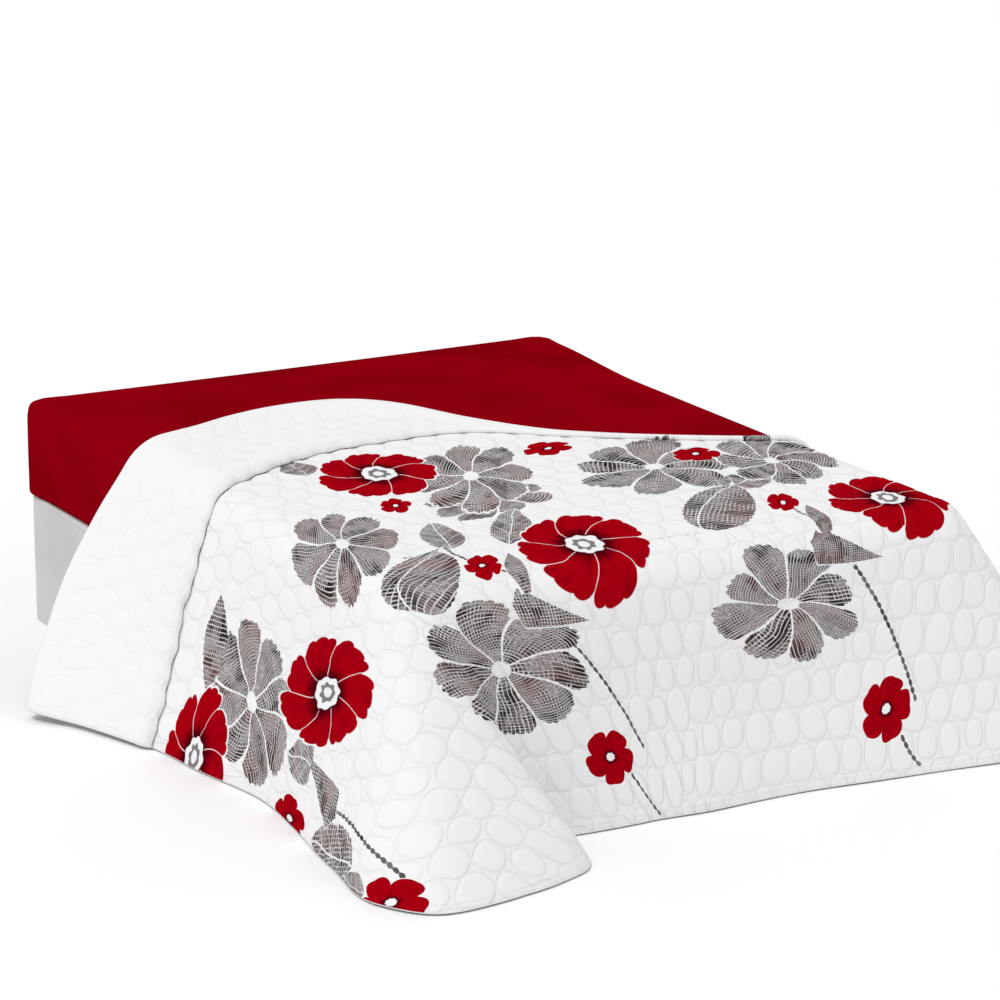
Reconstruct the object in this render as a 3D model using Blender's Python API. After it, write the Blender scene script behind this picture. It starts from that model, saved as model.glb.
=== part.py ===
"""Quilt draped over a mattress and its bed base, with the head end turned back.

Frame: the origin is on the floor under the bed, half of BED_WIDTH from its sides and
half of BED_LENGTH from its foot end. +X runs across the bed, +Y towards its head end,
which lies HEAD_ROOM further out, and +Z up. All sizes are in metres.

The quilt is worked out in cloth coordinates: s across the cloth, equal to X on top
of the bed, and t along it, equal to Y there. Past the rounded shoulder of the
mattress each point hangs on a spoke, which leaves the shoulder line square to it in
the cloth and ends at the hem.
"""

import bmesh
import bpy
import numpy as np

# Bed
BED_WIDTH = 1.53
BED_LENGTH = 2.03
BASE_HEIGHT = 0.335
BASE_INSET = 0.004
BASE_CORNER = 0.022
BASE_EDGE = 0.008
TOUCH_GAP = 0.0004
MATTRESS_TOP = 0.590
CROWN = 0.028
SHOULDER = 0.080
SHOULDER_CORNER = 0.025
MATTRESS_FOOT_EDGE = 0.020
HEAD_ROOM = 0.030
HEAD_STARTS = 0.45
HEAD_FULL = 0.90
HEAD_SQUARE = 0.026
HEAD_CRISP = 0.6
SIDE_POINTS = 14
CORNER_POINTS = 6
FOOT_EDGE_RINGS = 4
SHOULDER_RINGS = 8
CROWN_RINGS = (0.96, 0.91, 0.85, 0.77, 0.67, 0.55, 0.42, 0.28, 0.14)
SHARP_FROM = np.radians(38)

# Quilt
CLOTH = 0.007
CLOTH_HALF_WIDTH = 1.338
CLOTH_CORNER = 0.250
GAP_ON_TOP = 0.0009
GAP_ON_EDGE = 0.0030
GAP_BLEND = 0.140
HEM_HEIGHT = 0.012
SAG = 0.010
FOLD_STARTS = 0.20
ROLL_RADIUS = 0.022
ROLL_RADIUS_AT_HEM = 0.0048
ROLL_FULL_WIDTH = 0.300
FLAP_SETTLES = 0.160
SMALL_STEP = 0.004
TINY = 1e-9
LEAST_COS = 0.5

# Where the shoulder starts, and the middle of its rounded corner
LINE_X = BED_WIDTH / 2 - SHOULDER
LINE_Y = BED_LENGTH / 2 - SHOULDER
FAN_X = LINE_X - SHOULDER_CORNER
FAN_Y = LINE_Y - SHOULDER_CORNER
DROP = CLOTH_HALF_WIDTH - LINE_X
REACH = SHOULDER_CORNER + DROP
HALF_CORNER = REACH - CLOTH_CORNER + CLOTH_CORNER * np.pi / 4
FOOT_HEM = -(FAN_Y + REACH)

# Hem of the left half, seen from above and measured from the foot corner of the
# mattress. "hem" is the length along the hem from the middle of the cloth's corner,
# minus towards the head end; "in" is towards the bed's middle, "up" to its head end.
HEM_LEFT = (
    # hem, in, up
    (-2.16, -0.400, 1.640),
    (-1.834, -0.300, 1.315),
    (-1.644, -0.215, 1.125),
    (-1.464, -0.158, 0.945),
    (-1.257, -0.128, 0.738),
    (-0.984, -0.086, 0.465),
    (-0.802, -0.106, 0.283),
    (-0.545, -0.146, 0.024),
    (-0.30, -0.156, -0.222),
    (-0.18, -0.085, -0.322),
    (-0.015, 0.078, -0.330),
    (0.12, 0.205, -0.292),
    (0.26, 0.300, -0.215),
    (0.44, 0.385, -0.118),
    (0.68, 0.470, -0.070),
    (0.95, 0.595, -0.052),
    (1.284, 0.765, -0.058),
)
# Extra turn of the left corner, which folds over the foot drop.
FOLD_LEFT = (
    # hem, in, up
    (0.04, 0.000, 0.000),
    (0.14, 0.030, -0.006),
    (0.22, 0.064, -0.004),
    (0.258, 0.062, 0.016),
    (0.33, -0.046, 0.044),
    (0.42, -0.168, 0.042),
    (0.48, -0.212, 0.036),
    (0.54, -0.196, 0.040),
    (0.64, -0.122, 0.028),
    (0.78, -0.040, 0.008),
    (0.92, 0.000, 0.000),
)
# The right half, mirrored: its corner stands out past the side of the bed.
HEM_RIGHT = (
    # hem, in, up
    (-2.16, -0.100, 1.641),
    (-1.66, -0.112, 1.141),
    (-1.36, -0.088, 0.841),
    (-1.12, -0.118, 0.615),
    (-0.88, -0.096, 0.435),
    (-0.66, -0.130, 0.310),
    (-0.46, -0.200, 0.220),
    (-0.26, -0.300, 0.110),
    (-0.10, -0.345, 0.000),
    (0.04, -0.330, -0.085),
    (0.20, -0.215, -0.128),
    (0.44, 0.000, -0.105),
    (0.68, 0.205, -0.085),
    (0.96, 0.460, -0.056),
    (1.284, 0.765, -0.058),
)

# Head end of the cloth: where it is turned back, and how wide the turned part is.
HEAD_END = (
    # s, crease, width
    (-1.40, 0.245, 0.330),
    (-1.20, 0.325, 0.396),
    (-1.02, 0.370, 0.430),
    (-0.88, 0.365, 0.438),
    (-0.75, 0.338, 0.404),
    (-0.62, 0.350, 0.352),
    (-0.48, 0.386, 0.332),
    (-0.345, 0.396, 0.318),
    (-0.205, 0.366, 0.292),
    (-0.085, 0.280, 0.210),
    (0.035, 0.125, 0.098),
    (0.155, -0.030, 0.040),
    (0.275, -0.130, 0.016),
    (0.435, -0.215, 0.013),
    (0.635, -0.280, 0.013),
    (1.00, -0.290, 0.013),
    (1.40, -0.285, 0.013),
)

# Lines of the cloth's grid: place and number of steps up to it
ACROSS = (
    (-CLOTH_HALF_WIDTH, 0),
    (-1.00, 6),
    (-LINE_X - 0.12, 5),
    (-LINE_X, 5),
    (-FAN_X + 0.24, 8),
    (0.28, 8),
    (LINE_X - 0.06, 5),
    (LINE_X + 0.12, 6),
    (CLOTH_HALF_WIDTH, 8),
)
UP_FROM_FOOT = (
    (FOOT_HEM, 0),
    (FOOT_HEM + CLOTH_CORNER, 5),
    (-LINE_Y - 0.12, 4),
    (-LINE_Y, 5),
    (-FAN_Y + 0.06, 2),
)
TOP_ROWS = 10
ROLL_ROWS = 6
FLAP_ROWS = 6


def clear_scene():
    for old in list(bpy.data.objects):
        bpy.data.objects.remove(old, do_unlink=True)


def plain_material(name, colour, roughness, sheen=0.0):
    material = bpy.data.materials.new(name)
    material.use_nodes = True
    shader = material.node_tree.nodes["Principled BSDF"]
    shader.inputs["Base Color"].default_value = (*colour, 1.0)
    shader.inputs["Roughness"].default_value = roughness
    shader.inputs["Metallic"].default_value = 0.0
    shader.inputs["Sheen Weight"].default_value = sheen
    return material


def add_object(name, mesh, material):
    mesh.materials.append(material)
    thing = bpy.data.objects.new(name, mesh)
    bpy.context.scene.collection.objects.link(thing)
    return thing


def steps(knots):
    """Even steps between the places of a list of (place, number of steps)."""
    places = [np.array([knots[0][0]])]
    for (start, _), (end, count) in zip(knots, knots[1:]):
        places.append(np.linspace(start, end, count + 1)[1:])
    return np.concatenate(places)


def smoothstep(low, high, value):
    share = np.clip((value - low) / (high - low), 0.0, 1.0)
    return share * share * (3.0 - 2.0 * share)


def curve_through(table, column, value):
    """Cubic through a table's rows; the slope at a row joins its two neighbours."""
    rows = np.array(table)
    place, height = rows[:, 0], rows[:, column]
    slope = np.gradient(height, place)
    at = np.clip(value, place[0], place[-1])
    cell = np.clip(np.searchsorted(place, at) - 1, 0, len(place) - 2)
    width = place[cell + 1] - place[cell]
    k = (at - place[cell]) / width
    start = (1 + 2 * k) * (1 - k) ** 2 * height[cell] + k * (1 - k) ** 2 * width * slope[cell]
    end = k * k * (3 - 2 * k) * height[cell + 1] + k * k * (k - 1) * width * slope[cell + 1]
    return start + end


def stretch_head(y):
    """Y with the bed's extra length at the head end, beyond the quilt."""
    return y + HEAD_ROOM * smoothstep(HEAD_STARTS, HEAD_FULL, y)


def bed_top(x, y):
    """Crowned top of the mattress: a parabola across times a flatter curve along."""
    across = np.clip(1.0 - (x / LINE_X) ** 2, 0.0, 1.0)
    along = np.clip(1.0 - (y / LINE_Y) ** 4, 0.0, 1.0)
    return MATTRESS_TOP + CROWN * across * along


def down_slope(x, y, out_x, out_y):
    """Angle at which the top falls away at a point of the shoulder line."""
    inside = bed_top(x - SMALL_STEP * out_x, y - SMALL_STEP * out_y)
    return np.arctan(np.clip(inside - bed_top(x, y), 0.0, None) / SMALL_STEP)


def corner_ray(angle):
    """Length of a ray from the fan's middle to the rounded corner of the cloth,
    and where it meets the hem, measured from the corner's middle."""
    middle = REACH - CLOTH_CORNER
    cos, sin = np.cos(angle), np.sin(angle)
    root = np.clip(CLOTH_CORNER**2 - middle**2 * (cos - sin) ** 2, 0.0, None)
    ray = middle * (cos + sin) + np.sqrt(root)
    around = np.arctan2(ray * sin - middle, ray * cos - middle) - np.pi / 4
    hem = CLOTH_CORNER * around
    down_side = REACH * np.tan(np.minimum(angle, np.pi / 4))
    along_foot = REACH / np.tan(np.maximum(angle, np.pi / 4))
    on_side, on_foot = down_side < middle, along_foot < middle
    ray = np.where(on_side, REACH / np.maximum(cos, LEAST_COS), ray)
    ray = np.where(on_foot, REACH / np.maximum(sin, LEAST_COS), ray)
    hem = np.where(on_side, down_side - HALF_CORNER, hem)
    return ray, np.where(on_foot, HALF_CORNER - along_foot, hem)


def hem_place(right, hem, folded):
    """Place of the hem from above, in the mirrored half (x away from the middle)."""
    inwards = np.where(right, curve_through(HEM_RIGHT, 1, hem), curve_through(HEM_LEFT, 1, hem))
    upwards = np.where(right, curve_through(HEM_RIGHT, 2, hem), curve_through(HEM_LEFT, 2, hem))
    inwards = inwards + np.where(right, 0.0, folded * curve_through(FOLD_LEFT, 1, hem))
    upwards = upwards + np.where(right, 0.0, folded * curve_through(FOLD_LEFT, 2, hem))
    return BED_WIDTH / 2 - inwards, -BED_LENGTH / 2 + upwards


def lay_cloth(s, t):
    """Place of the cloth's middle surface for cloth coordinates s and t.

    On top it keeps the mattress' crown. Past the shoulder line it follows an arc of
    the shoulder's radius, then the straight tangent from that arc to the hem.
    """
    right = s > 0
    side = np.where(right, 1.0, -1.0)
    away = np.abs(s)
    near_x, near_y = np.minimum(away, FAN_X), np.maximum(t, -FAN_Y)
    past_x, past_y = away - near_x, near_y - t
    angle = np.arctan2(past_y, past_x)
    inside = np.maximum(away - LINE_X, -LINE_Y - t)
    out = np.where(past_x + past_y > 0, np.hypot(past_x, past_y) - SHOULDER_CORNER, inside)

    ray, hem = corner_ray(angle)
    hem = np.where(past_y <= 0, -HALF_CORNER - (t + FAN_Y), hem)
    hem = np.where(past_x <= 0, HALF_CORNER + FAN_X - away, hem)
    share = np.clip(out / (ray - SHOULDER_CORNER), 0.0, 1.0)

    line_x = near_x + SHOULDER_CORNER * np.cos(angle)
    line_y = near_y - SHOULDER_CORNER * np.sin(angle)
    hem_x, hem_y = hem_place(right, hem, smoothstep(FOLD_STARTS, 1.0, share))
    out_x, out_y = np.cos(angle), -np.sin(angle)
    span = (hem_x - line_x) * out_x + (hem_y - line_y) * out_y

    lift = CLOTH / 2 + GAP_ON_EDGE
    radius = SHOULDER + lift
    start = down_slope(line_x, line_y, out_x, out_y)
    top = bed_top(line_x, line_y) + lift
    from_middle = span + radius * np.sin(start)
    below = top - HEM_HEIGHT - radius * np.cos(start)
    far = np.hypot(from_middle, below)
    end = np.arctan2(from_middle, -below) - np.arccos(radius / far)
    arc = radius * (end - start)
    straight = np.sqrt(far**2 - radius**2)
    along = share * (arc + straight)
    turn = np.minimum(start + along / radius, end)
    run = np.maximum(along - arc, 0.0)
    sag = SAG * np.sin(np.pi * run / straight) ** 2
    gone = radius * (np.sin(turn) - np.sin(start)) + run * np.cos(end) - sag * np.sin(end)
    fall = radius * (np.cos(start) - np.cos(turn)) + run * np.sin(end) + sag * np.cos(end)

    on_top = out <= 0
    rise = GAP_ON_TOP + (GAP_ON_EDGE - GAP_ON_TOP) * smoothstep(-GAP_BLEND, 0.0, out)
    down = fall / (top - HEM_HEIGHT)
    x = np.where(on_top, away, line_x + out_x * gone + (hem_x - line_x - out_x * span) * down)
    y = np.where(on_top, t, line_y + out_y * gone + (hem_y - line_y - out_y * span) * down)
    z = np.where(on_top, bed_top(away, t) + CLOTH / 2 + rise, top - fall)
    return np.stack([side * x, y, z], axis=-1)


def outward(s, t):
    """Outward unit normal of the laid cloth, from small steps along s and t."""
    across = lay_cloth(s + SMALL_STEP, t) - lay_cloth(s - SMALL_STEP, t)
    along = lay_cloth(s, t + SMALL_STEP) - lay_cloth(s, t - SMALL_STEP)
    normal = np.cross(across, along)
    return normal / np.linalg.norm(normal, axis=-1, keepdims=True)


def round_corner(s, t):
    """Draws the grid in to the cloth's rounded foot corners: squares become circles."""
    past_s = np.abs(s) - (CLOTH_HALF_WIDTH - CLOTH_CORNER)
    past_t = FOOT_HEM + CLOTH_CORNER - t
    corner = (past_s > 0) & (past_t > 0)
    pull = np.maximum(past_s, past_t) / np.maximum(np.hypot(past_s, past_t), TINY)
    new_s = np.sign(s) * (CLOTH_HALF_WIDTH - CLOTH_CORNER + past_s * pull)
    new_t = FOOT_HEM + CLOTH_CORNER - past_t * pull
    return np.where(corner, new_s, s), np.where(corner, new_t, t)


def cloth_grid():
    """Cloth coordinates and height over the laid cloth, row by row: up the body from
    the foot hem to the crease, round the roll, and back along the turned flap."""
    s = steps(ACROSS)
    foot = steps(UP_FROM_FOOT)
    crease = curve_through(HEAD_END, 1, s)
    width = curve_through(HEAD_END, 2, s)
    full = smoothstep(0.0, ROLL_FULL_WIDTH, width)
    radius = ROLL_RADIUS_AT_HEM + (ROLL_RADIUS - ROLL_RADIUS_AT_HEM) * full

    up = (np.arange(1, TOP_ROWS + 1) / TOP_ROWS)[:, None]
    turn = (np.pi * np.arange(1, ROLL_ROWS + 1) / ROLL_ROWS)[:, None]
    back = (np.arange(1, FLAP_ROWS + 1) / FLAP_ROWS)[:, None]
    settled = smoothstep(0.0, FLAP_SETTLES, back * width)
    flap_height = 2 * (radius + (ROLL_RADIUS_AT_HEM - radius) * settled)

    t = [
        np.repeat(foot[:, None], len(s), axis=1),
        foot[-1] + up * (crease - foot[-1]),
        crease + radius * np.sin(turn),
        crease - back * width,
    ]
    height = [
        np.zeros((len(foot) + TOP_ROWS, len(s))),
        radius * (1.0 - np.cos(turn)),
        flap_height,
    ]
    t, height = np.concatenate(t), np.concatenate(height)
    s = np.repeat(s[None, :], len(t), axis=0)
    s, t = round_corner(s, t)
    return s, t, height


def grid_faces(rows, columns, left_columns):
    """Two triangles a cell, split so that the cut runs into each rounded corner."""
    row, column = np.meshgrid(np.arange(rows - 1), np.arange(columns - 1), indexing="ij")
    low = (row * columns + column).ravel()
    left = column.ravel() < left_columns
    a, b, c, d = low, low + 1, low + columns + 1, low + columns
    first = np.where(left[:, None], np.stack([a, b, c], 1), np.stack([a, b, d], 1))
    second = np.where(left[:, None], np.stack([a, c, d], 1), np.stack([b, c, d], 1))
    return np.concatenate([first, second]).tolist()


def make_quilt():
    s, t, height = cloth_grid()
    points = lay_cloth(s, t) + height[..., None] * outward(s, t)
    rows, columns = s.shape
    faces = grid_faces(rows, columns, int((s[-1] < 0).sum()))
    mesh = bpy.data.meshes.new("quilt")
    mesh.from_pydata(points.reshape(-1, 3).tolist(), [], faces)
    mesh.shade_smooth()
    quilt = add_object("quilt", mesh, plain_material("quilt_cotton", (0.84, 0.83, 0.84), 0.85, 0.2))
    thick = quilt.modifiers.new("thickness", "SOLIDIFY")
    thick.thickness = CLOTH
    thick.offset = 0.0
    return quilt


def shoulder_line(side_points, corner_points):
    """Points and outward directions round the rounded rectangle of the shoulder."""
    corners = ((1, 1), (-1, 1), (-1, -1), (1, -1))
    points, outs = [], []
    for quarter, (sign_x, sign_y) in enumerate(corners):
        turn = quarter * np.pi / 2 + np.linspace(0, np.pi / 2, corner_points)
        out = np.stack([np.cos(turn), np.sin(turn)], 1)
        arc = np.array([sign_x * FAN_X, sign_y * FAN_Y]) + SHOULDER_CORNER * out
        next_x, next_y = corners[(quarter + 1) % 4]
        end_out = out[-1]
        next_start = np.array([next_x * FAN_X, next_y * FAN_Y]) + SHOULDER_CORNER * end_out
        share = np.linspace(0, 1, side_points + 1)[1:-1, None]
        points += [arc, arc[-1] + share * (next_start - arc[-1])]
        outs += [out, np.repeat(end_out[None], side_points - 1, axis=0)]
    return np.concatenate(points), np.concatenate(outs)


def mattress_rings():
    """Closed rings from the underside's middle up the side and over the crown.

    The shoulder is a round arc. Towards the head end it turns into a squarer one, and
    the upright corners there stand out too.
    """
    line, out = shoulder_line(SIDE_POINTS, CORNER_POINTS)
    tilt = down_slope(line[:, 0], line[:, 1], out[:, 0], out[:, 1])
    top = bed_top(line[:, 0], line[:, 1])
    bottom = BASE_HEIGHT + TOUCH_GAP
    side = SHOULDER * (1.0 - np.sin(tilt))
    square = smoothstep(HEAD_STARTS, HEAD_FULL, line[:, 1])
    corner = square * (2 * out[:, 0] * out[:, 1]) ** 2
    rings = []

    def add_ring(gone, height):
        away = gone + HEAD_SQUARE * corner * gone / side
        rings.append(np.column_stack([line + out * away[:, None], height]))

    for turn in np.linspace(0, np.pi / 2, FOOT_EDGE_RINGS):
        gone = side - MATTRESS_FOOT_EDGE * (1.0 - np.sin(turn))
        rise = MATTRESS_FOOT_EDGE * (1.0 - np.cos(turn))
        add_ring(gone, np.full(len(line), bottom + rise))
    for share in np.linspace(1.0, 0.0, SHOULDER_RINGS):
        turn = tilt + share * (np.pi / 2 - tilt)
        quarter = share * np.pi / 2
        round_gone = SHOULDER * (np.sin(turn) - np.sin(tilt))
        round_fall = SHOULDER * (np.cos(tilt) - np.cos(turn))
        square_gone = side * np.sin(quarter) ** HEAD_CRISP
        square_fall = SHOULDER * np.cos(tilt) * (1.0 - max(np.cos(quarter), 0.0) ** HEAD_CRISP)
        gone = round_gone + square * (square_gone - round_gone)
        add_ring(gone, top - round_fall - square * (square_fall - round_fall))
    for scale in CROWN_RINGS:
        inner = line * scale
        rings.append(np.column_stack([inner, bed_top(inner[:, 0], inner[:, 1])]))
    for ring in rings:
        ring[:, 1] = stretch_head(ring[:, 1])
    return rings


def make_mattress():
    rings = mattress_rings()
    shape = bmesh.new()
    loops = [[shape.verts.new(point) for point in ring] for ring in rings]
    count = len(loops[0])
    for lower, upper in zip(loops, loops[1:]):
        for i in range(count):
            j = (i + 1) % count
            shape.faces.new((lower[i], lower[j], upper[j], upper[i]))
    shape.faces.new(list(reversed(loops[0])))
    middle = shape.verts.new((0.0, 0.0, MATTRESS_TOP + CROWN))
    for i in range(count):
        shape.faces.new((loops[-1][i], loops[-1][(i + 1) % count], middle))
    mesh = bpy.data.meshes.new("mattress")
    bmesh.ops.triangulate(shape, faces=[face for face in shape.faces if len(face.verts) == 4])
    shape.to_mesh(mesh)
    shape.free()
    mesh.shade_smooth()
    mesh.set_sharp_from_angle(angle=SHARP_FROM)
    return add_object("mattress", mesh, plain_material("crimson_cover", (0.30, 0.005, 0.018), 0.6))


def bevel_edges(shape, chosen, width, segments):
    """Rounds the edges whose rise from end to end is a chosen one."""
    edges = [edge for edge in shape.edges if chosen(abs(edge.verts[0].co.z - edge.verts[1].co.z))]
    bmesh.ops.bevel(shape, geom=edges, offset=width, segments=segments, affect="EDGES", profile=0.5)


def make_base():
    """Upholstered box under the mattress, with rounded upright corners."""
    shape = bmesh.new()
    bmesh.ops.create_cube(shape, size=1.0)
    size = (BED_WIDTH - 2 * BASE_INSET, BED_LENGTH - 2 * BASE_INSET, BASE_HEIGHT)
    bmesh.ops.scale(shape, vec=size, verts=shape.verts)
    bmesh.ops.translate(shape, vec=(0.0, 0.0, BASE_HEIGHT / 2), verts=shape.verts)
    bevel_edges(shape, lambda rise: rise > BASE_HEIGHT / 2, BASE_CORNER, segments=6)
    bevel_edges(shape, lambda rise: rise < TINY, BASE_EDGE, segments=2)
    for vert in shape.verts:
        vert.co.y = stretch_head(vert.co.y)
    mesh = bpy.data.meshes.new("base")
    shape.to_mesh(mesh)
    shape.free()
    mesh.shade_smooth()
    mesh.set_sharp_from_angle(angle=SHARP_FROM)
    return add_object("base", mesh, plain_material("base_fabric", (0.72, 0.72, 0.71), 0.9))


clear_scene()
make_base()
make_mattress()
make_quilt()
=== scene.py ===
"""Looks of a printed and quilted bed cover, laid over a mattress and an upholstered
base, with its head end turned back.

The quilt is one sheet in cloth coordinates: s across it and t along it, both in
metres, equal to X and Y on top of the bed. Its print and its quilting are laid out in
those coordinates. Each corner of a face carries its place in the nearest motif or
pebble, and the materials draw the outline from there.
"""

import bpy
import numpy as np
from mathutils import Matrix, Vector


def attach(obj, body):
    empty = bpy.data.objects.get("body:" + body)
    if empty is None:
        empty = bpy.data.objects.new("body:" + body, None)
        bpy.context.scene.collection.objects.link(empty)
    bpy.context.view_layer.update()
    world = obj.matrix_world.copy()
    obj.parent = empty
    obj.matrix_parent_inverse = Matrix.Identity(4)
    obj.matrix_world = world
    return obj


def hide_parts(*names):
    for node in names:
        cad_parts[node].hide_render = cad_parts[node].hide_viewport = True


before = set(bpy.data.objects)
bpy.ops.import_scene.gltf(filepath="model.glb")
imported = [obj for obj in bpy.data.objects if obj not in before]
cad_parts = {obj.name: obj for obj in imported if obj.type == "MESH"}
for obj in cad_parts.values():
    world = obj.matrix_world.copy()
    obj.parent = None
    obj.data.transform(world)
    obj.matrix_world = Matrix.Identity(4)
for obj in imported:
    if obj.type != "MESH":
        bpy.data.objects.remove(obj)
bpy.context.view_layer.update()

# Bed, as in the solids
BED_WIDTH = 1.53
BED_LENGTH = 2.03
BASE_HEIGHT = 0.335
BASE_INSET = 0.004
BASE_CORNER = 0.022
TOUCH_GAP = 0.0004
MATTRESS_TOP = 0.590
CROWN = 0.028
SHOULDER = 0.080
SHOULDER_CORNER = 0.025
MATTRESS_FOOT_EDGE = 0.020
HEAD_ROOM = 0.030
HEAD_STARTS = 0.45
HEAD_FULL = 0.90
HEAD_SQUARE = 0.037
HEAD_CRISP = 0.38

# Quilt, as in the solids
CLOTH = 0.007
CLOTH_HALF_WIDTH = 1.338
CLOTH_CORNER = 0.250
GAP_ON_TOP = 0.0009
GAP_ON_EDGE = 0.0030
GAP_BLEND = 0.140
HEM_HEIGHT = 0.0045
SAG = 0.010
FOLD_STARTS = 0.20
ROLL_RADIUS = 0.022
ROLL_RADIUS_AT_HEM = 0.0048
ROLL_FULL_WIDTH = 0.300
FLAP_SETTLES = 0.160
SMALL_STEP = 0.004
TINY = 1e-9
LEAST_COS = 0.5

# Where the shoulder starts, and the middle of its rounded corner
LINE_X = BED_WIDTH / 2 - SHOULDER
LINE_Y = BED_LENGTH / 2 - SHOULDER
FAN_X = LINE_X - SHOULDER_CORNER
FAN_Y = LINE_Y - SHOULDER_CORNER
DROP = CLOTH_HALF_WIDTH - LINE_X
REACH = SHOULDER_CORNER + DROP
HALF_CORNER = REACH - CLOTH_CORNER + CLOTH_CORNER * np.pi / 4
FOOT_HEM = -(FAN_Y + REACH)

# Hem of the left half, seen from above and measured from the foot corner of the
# mattress. "hem" is the length along the hem from the middle of the cloth's corner,
# minus towards the head end; "in" is towards the bed's middle, "up" to its head end.
HEM_LEFT = (
    # hem, in, up
    (-2.16, -0.400, 1.640),
    (-1.834, -0.300, 1.315),
    (-1.644, -0.215, 1.125),
    (-1.464, -0.158, 0.945),
    (-1.257, -0.128, 0.738),
    (-0.984, -0.086, 0.465),
    (-0.802, -0.106, 0.283),
    (-0.545, -0.146, 0.024),
    (-0.30, -0.156, -0.222),
    (-0.18, -0.085, -0.322),
    (-0.015, 0.078, -0.330),
    (0.12, 0.205, -0.292),
    (0.26, 0.300, -0.215),
    (0.44, 0.385, -0.118),
    (0.68, 0.470, -0.070),
    (0.95, 0.595, -0.052),
    (1.284, 0.765, -0.058),
)
# Extra turn of the left corner, which folds over the foot drop.
FOLD_LEFT = (
    # hem, in, up
    (0.04, 0.000, 0.000),
    (0.14, 0.030, -0.006),
    (0.22, 0.064, -0.004),
    (0.258, 0.062, 0.016),
    (0.33, -0.046, 0.044),
    (0.42, -0.168, 0.042),
    (0.48, -0.212, 0.036),
    (0.54, -0.196, 0.040),
    (0.64, -0.122, 0.028),
    (0.78, -0.040, 0.008),
    (0.92, 0.000, 0.000),
)
# The right half, mirrored: its corner stands out past the side of the bed.
HEM_RIGHT = (
    # hem, in, up
    (-2.16, -0.100, 1.641),
    (-1.66, -0.112, 1.141),
    (-1.36, -0.088, 0.841),
    (-1.12, -0.118, 0.615),
    (-0.88, -0.096, 0.435),
    (-0.66, -0.130, 0.310),
    (-0.46, -0.200, 0.220),
    (-0.26, -0.300, 0.110),
    (-0.10, -0.345, 0.000),
    (0.04, -0.330, -0.085),
    (0.20, -0.215, -0.128),
    (0.44, 0.000, -0.105),
    (0.68, 0.205, -0.085),
    (0.96, 0.460, -0.056),
    (1.284, 0.765, -0.058),
)
# Head end of the cloth: where it is turned back, and how wide the turned part is.
HEAD_END = (
    # s, crease, width
    (-1.40, 0.245, 0.330),
    (-1.20, 0.325, 0.396),
    (-1.02, 0.370, 0.430),
    (-0.88, 0.365, 0.438),
    (-0.75, 0.338, 0.404),
    (-0.62, 0.350, 0.352),
    (-0.48, 0.386, 0.332),
    (-0.345, 0.396, 0.318),
    (-0.205, 0.366, 0.292),
    (-0.085, 0.280, 0.210),
    (0.035, 0.125, 0.098),
    (0.155, -0.030, 0.040),
    (0.275, -0.130, 0.016),
    (0.435, -0.215, 0.013),
    (0.635, -0.280, 0.013),
    (1.00, -0.290, 0.013),
    (1.40, -0.285, 0.013),
)

# The quilt's fine grid, and how its hanging parts and turned-back part swell
COLUMNS = 240
BODY_ROWS = 160
ROLL_ROWS = 8
FLAP_ROWS = 32
RIPPLE = 0.007
FLAP_LOFT = 0.40
FLAP_FALL = 0.022
EDGE_PUFF = 0.0024
EDGE_WAVE = 0.0090
EDGE_SINK = 0.0016
HEM_FOLD = 0.030

# Quilting: rounded pebbles, taller along the cloth than across
PEBBLE_PITCH = 0.071
PEBBLE_TALL = 1.34
PEBBLE_RADII = (0.0265, 0.0375)
PEBBLE_POWER = 2.5
CHANNEL = 0.0070
FILLER_RADII = (0.011, 0.017)
PUFF = 0.0010
SINK = 0.0014
PUFF_SHOULDER = 0.014
HEM_STITCH = 0.014
PEBBLE_SEED = 7
PEBBLE_JITTER = 0.010
PEBBLE_ROUNDS = 40
PEBBLE_PUSH = 0.35
PEBBLE_STRETCH = (0.94, 1.06)
PEBBLE_LEAN = 0.30
FILLER_TRIES = 9000
FILLER_MOST = 1500
FILLER_CHANNEL = 0.7 * CHANNEL
PEBBLE_HEAD_END = 0.45
OVAL_BATCHES = 24

# The quilt's rim, its hem stitch and the swell of its loose parts
RIM_OUT = 0.0022
RIM_THINNER = 0.0018
RIM_WIDTH = 0.010
RIM_PLAIN = (0.004, 0.022)
STITCH_HALF = 0.006
STITCH_DEEP = 0.8
PUFF_REACH = 0.040
SINK_REACH = 0.008
BACK_SHARE = 0.5
WAVE_SIZES = (0.060, 0.140)
RIPPLE_SIZES = (0.28, 0.60)
RIPPLE_STARTS = (0.02, 0.40)

# Print: middle of each motif in cloth coordinates, its half length
# and half width in metres, and the turn of its length in degrees.
FAN, LEAF, BUD, BRACT, SPEAR = range(5)
BRUSHED_UNDER = (
    # kind, s, t, half length, half width, turn, seed
    (FAN, -0.68, -0.59, 0.285, 0.140, 66, 1),
    (FAN, -0.62, -1.185, 0.290, 0.170, -4, 2),
    (FAN, 0.23, -1.14, 0.225, 0.150, -16, 3),
    (FAN, 0.235, -0.42, 0.275, 0.215, 40, 4),
    (FAN, -1.13, -0.42, 0.220, 0.190, 48, 5),
    (FAN, -0.25, -0.49, 0.190, 0.130, 20, 8),
    (LEAF, -0.47, -0.67, 0.100, 0.050, 76, 6),
    (LEAF, 0.37, -0.61, 0.110, 0.060, 30, 7),
    (SPEAR, -1.05, -0.22, 0.120, 0.056, 8, 8),
    (LEAF, -1.31, -0.98, 0.125, 0.075, 96, 3),
)
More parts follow.
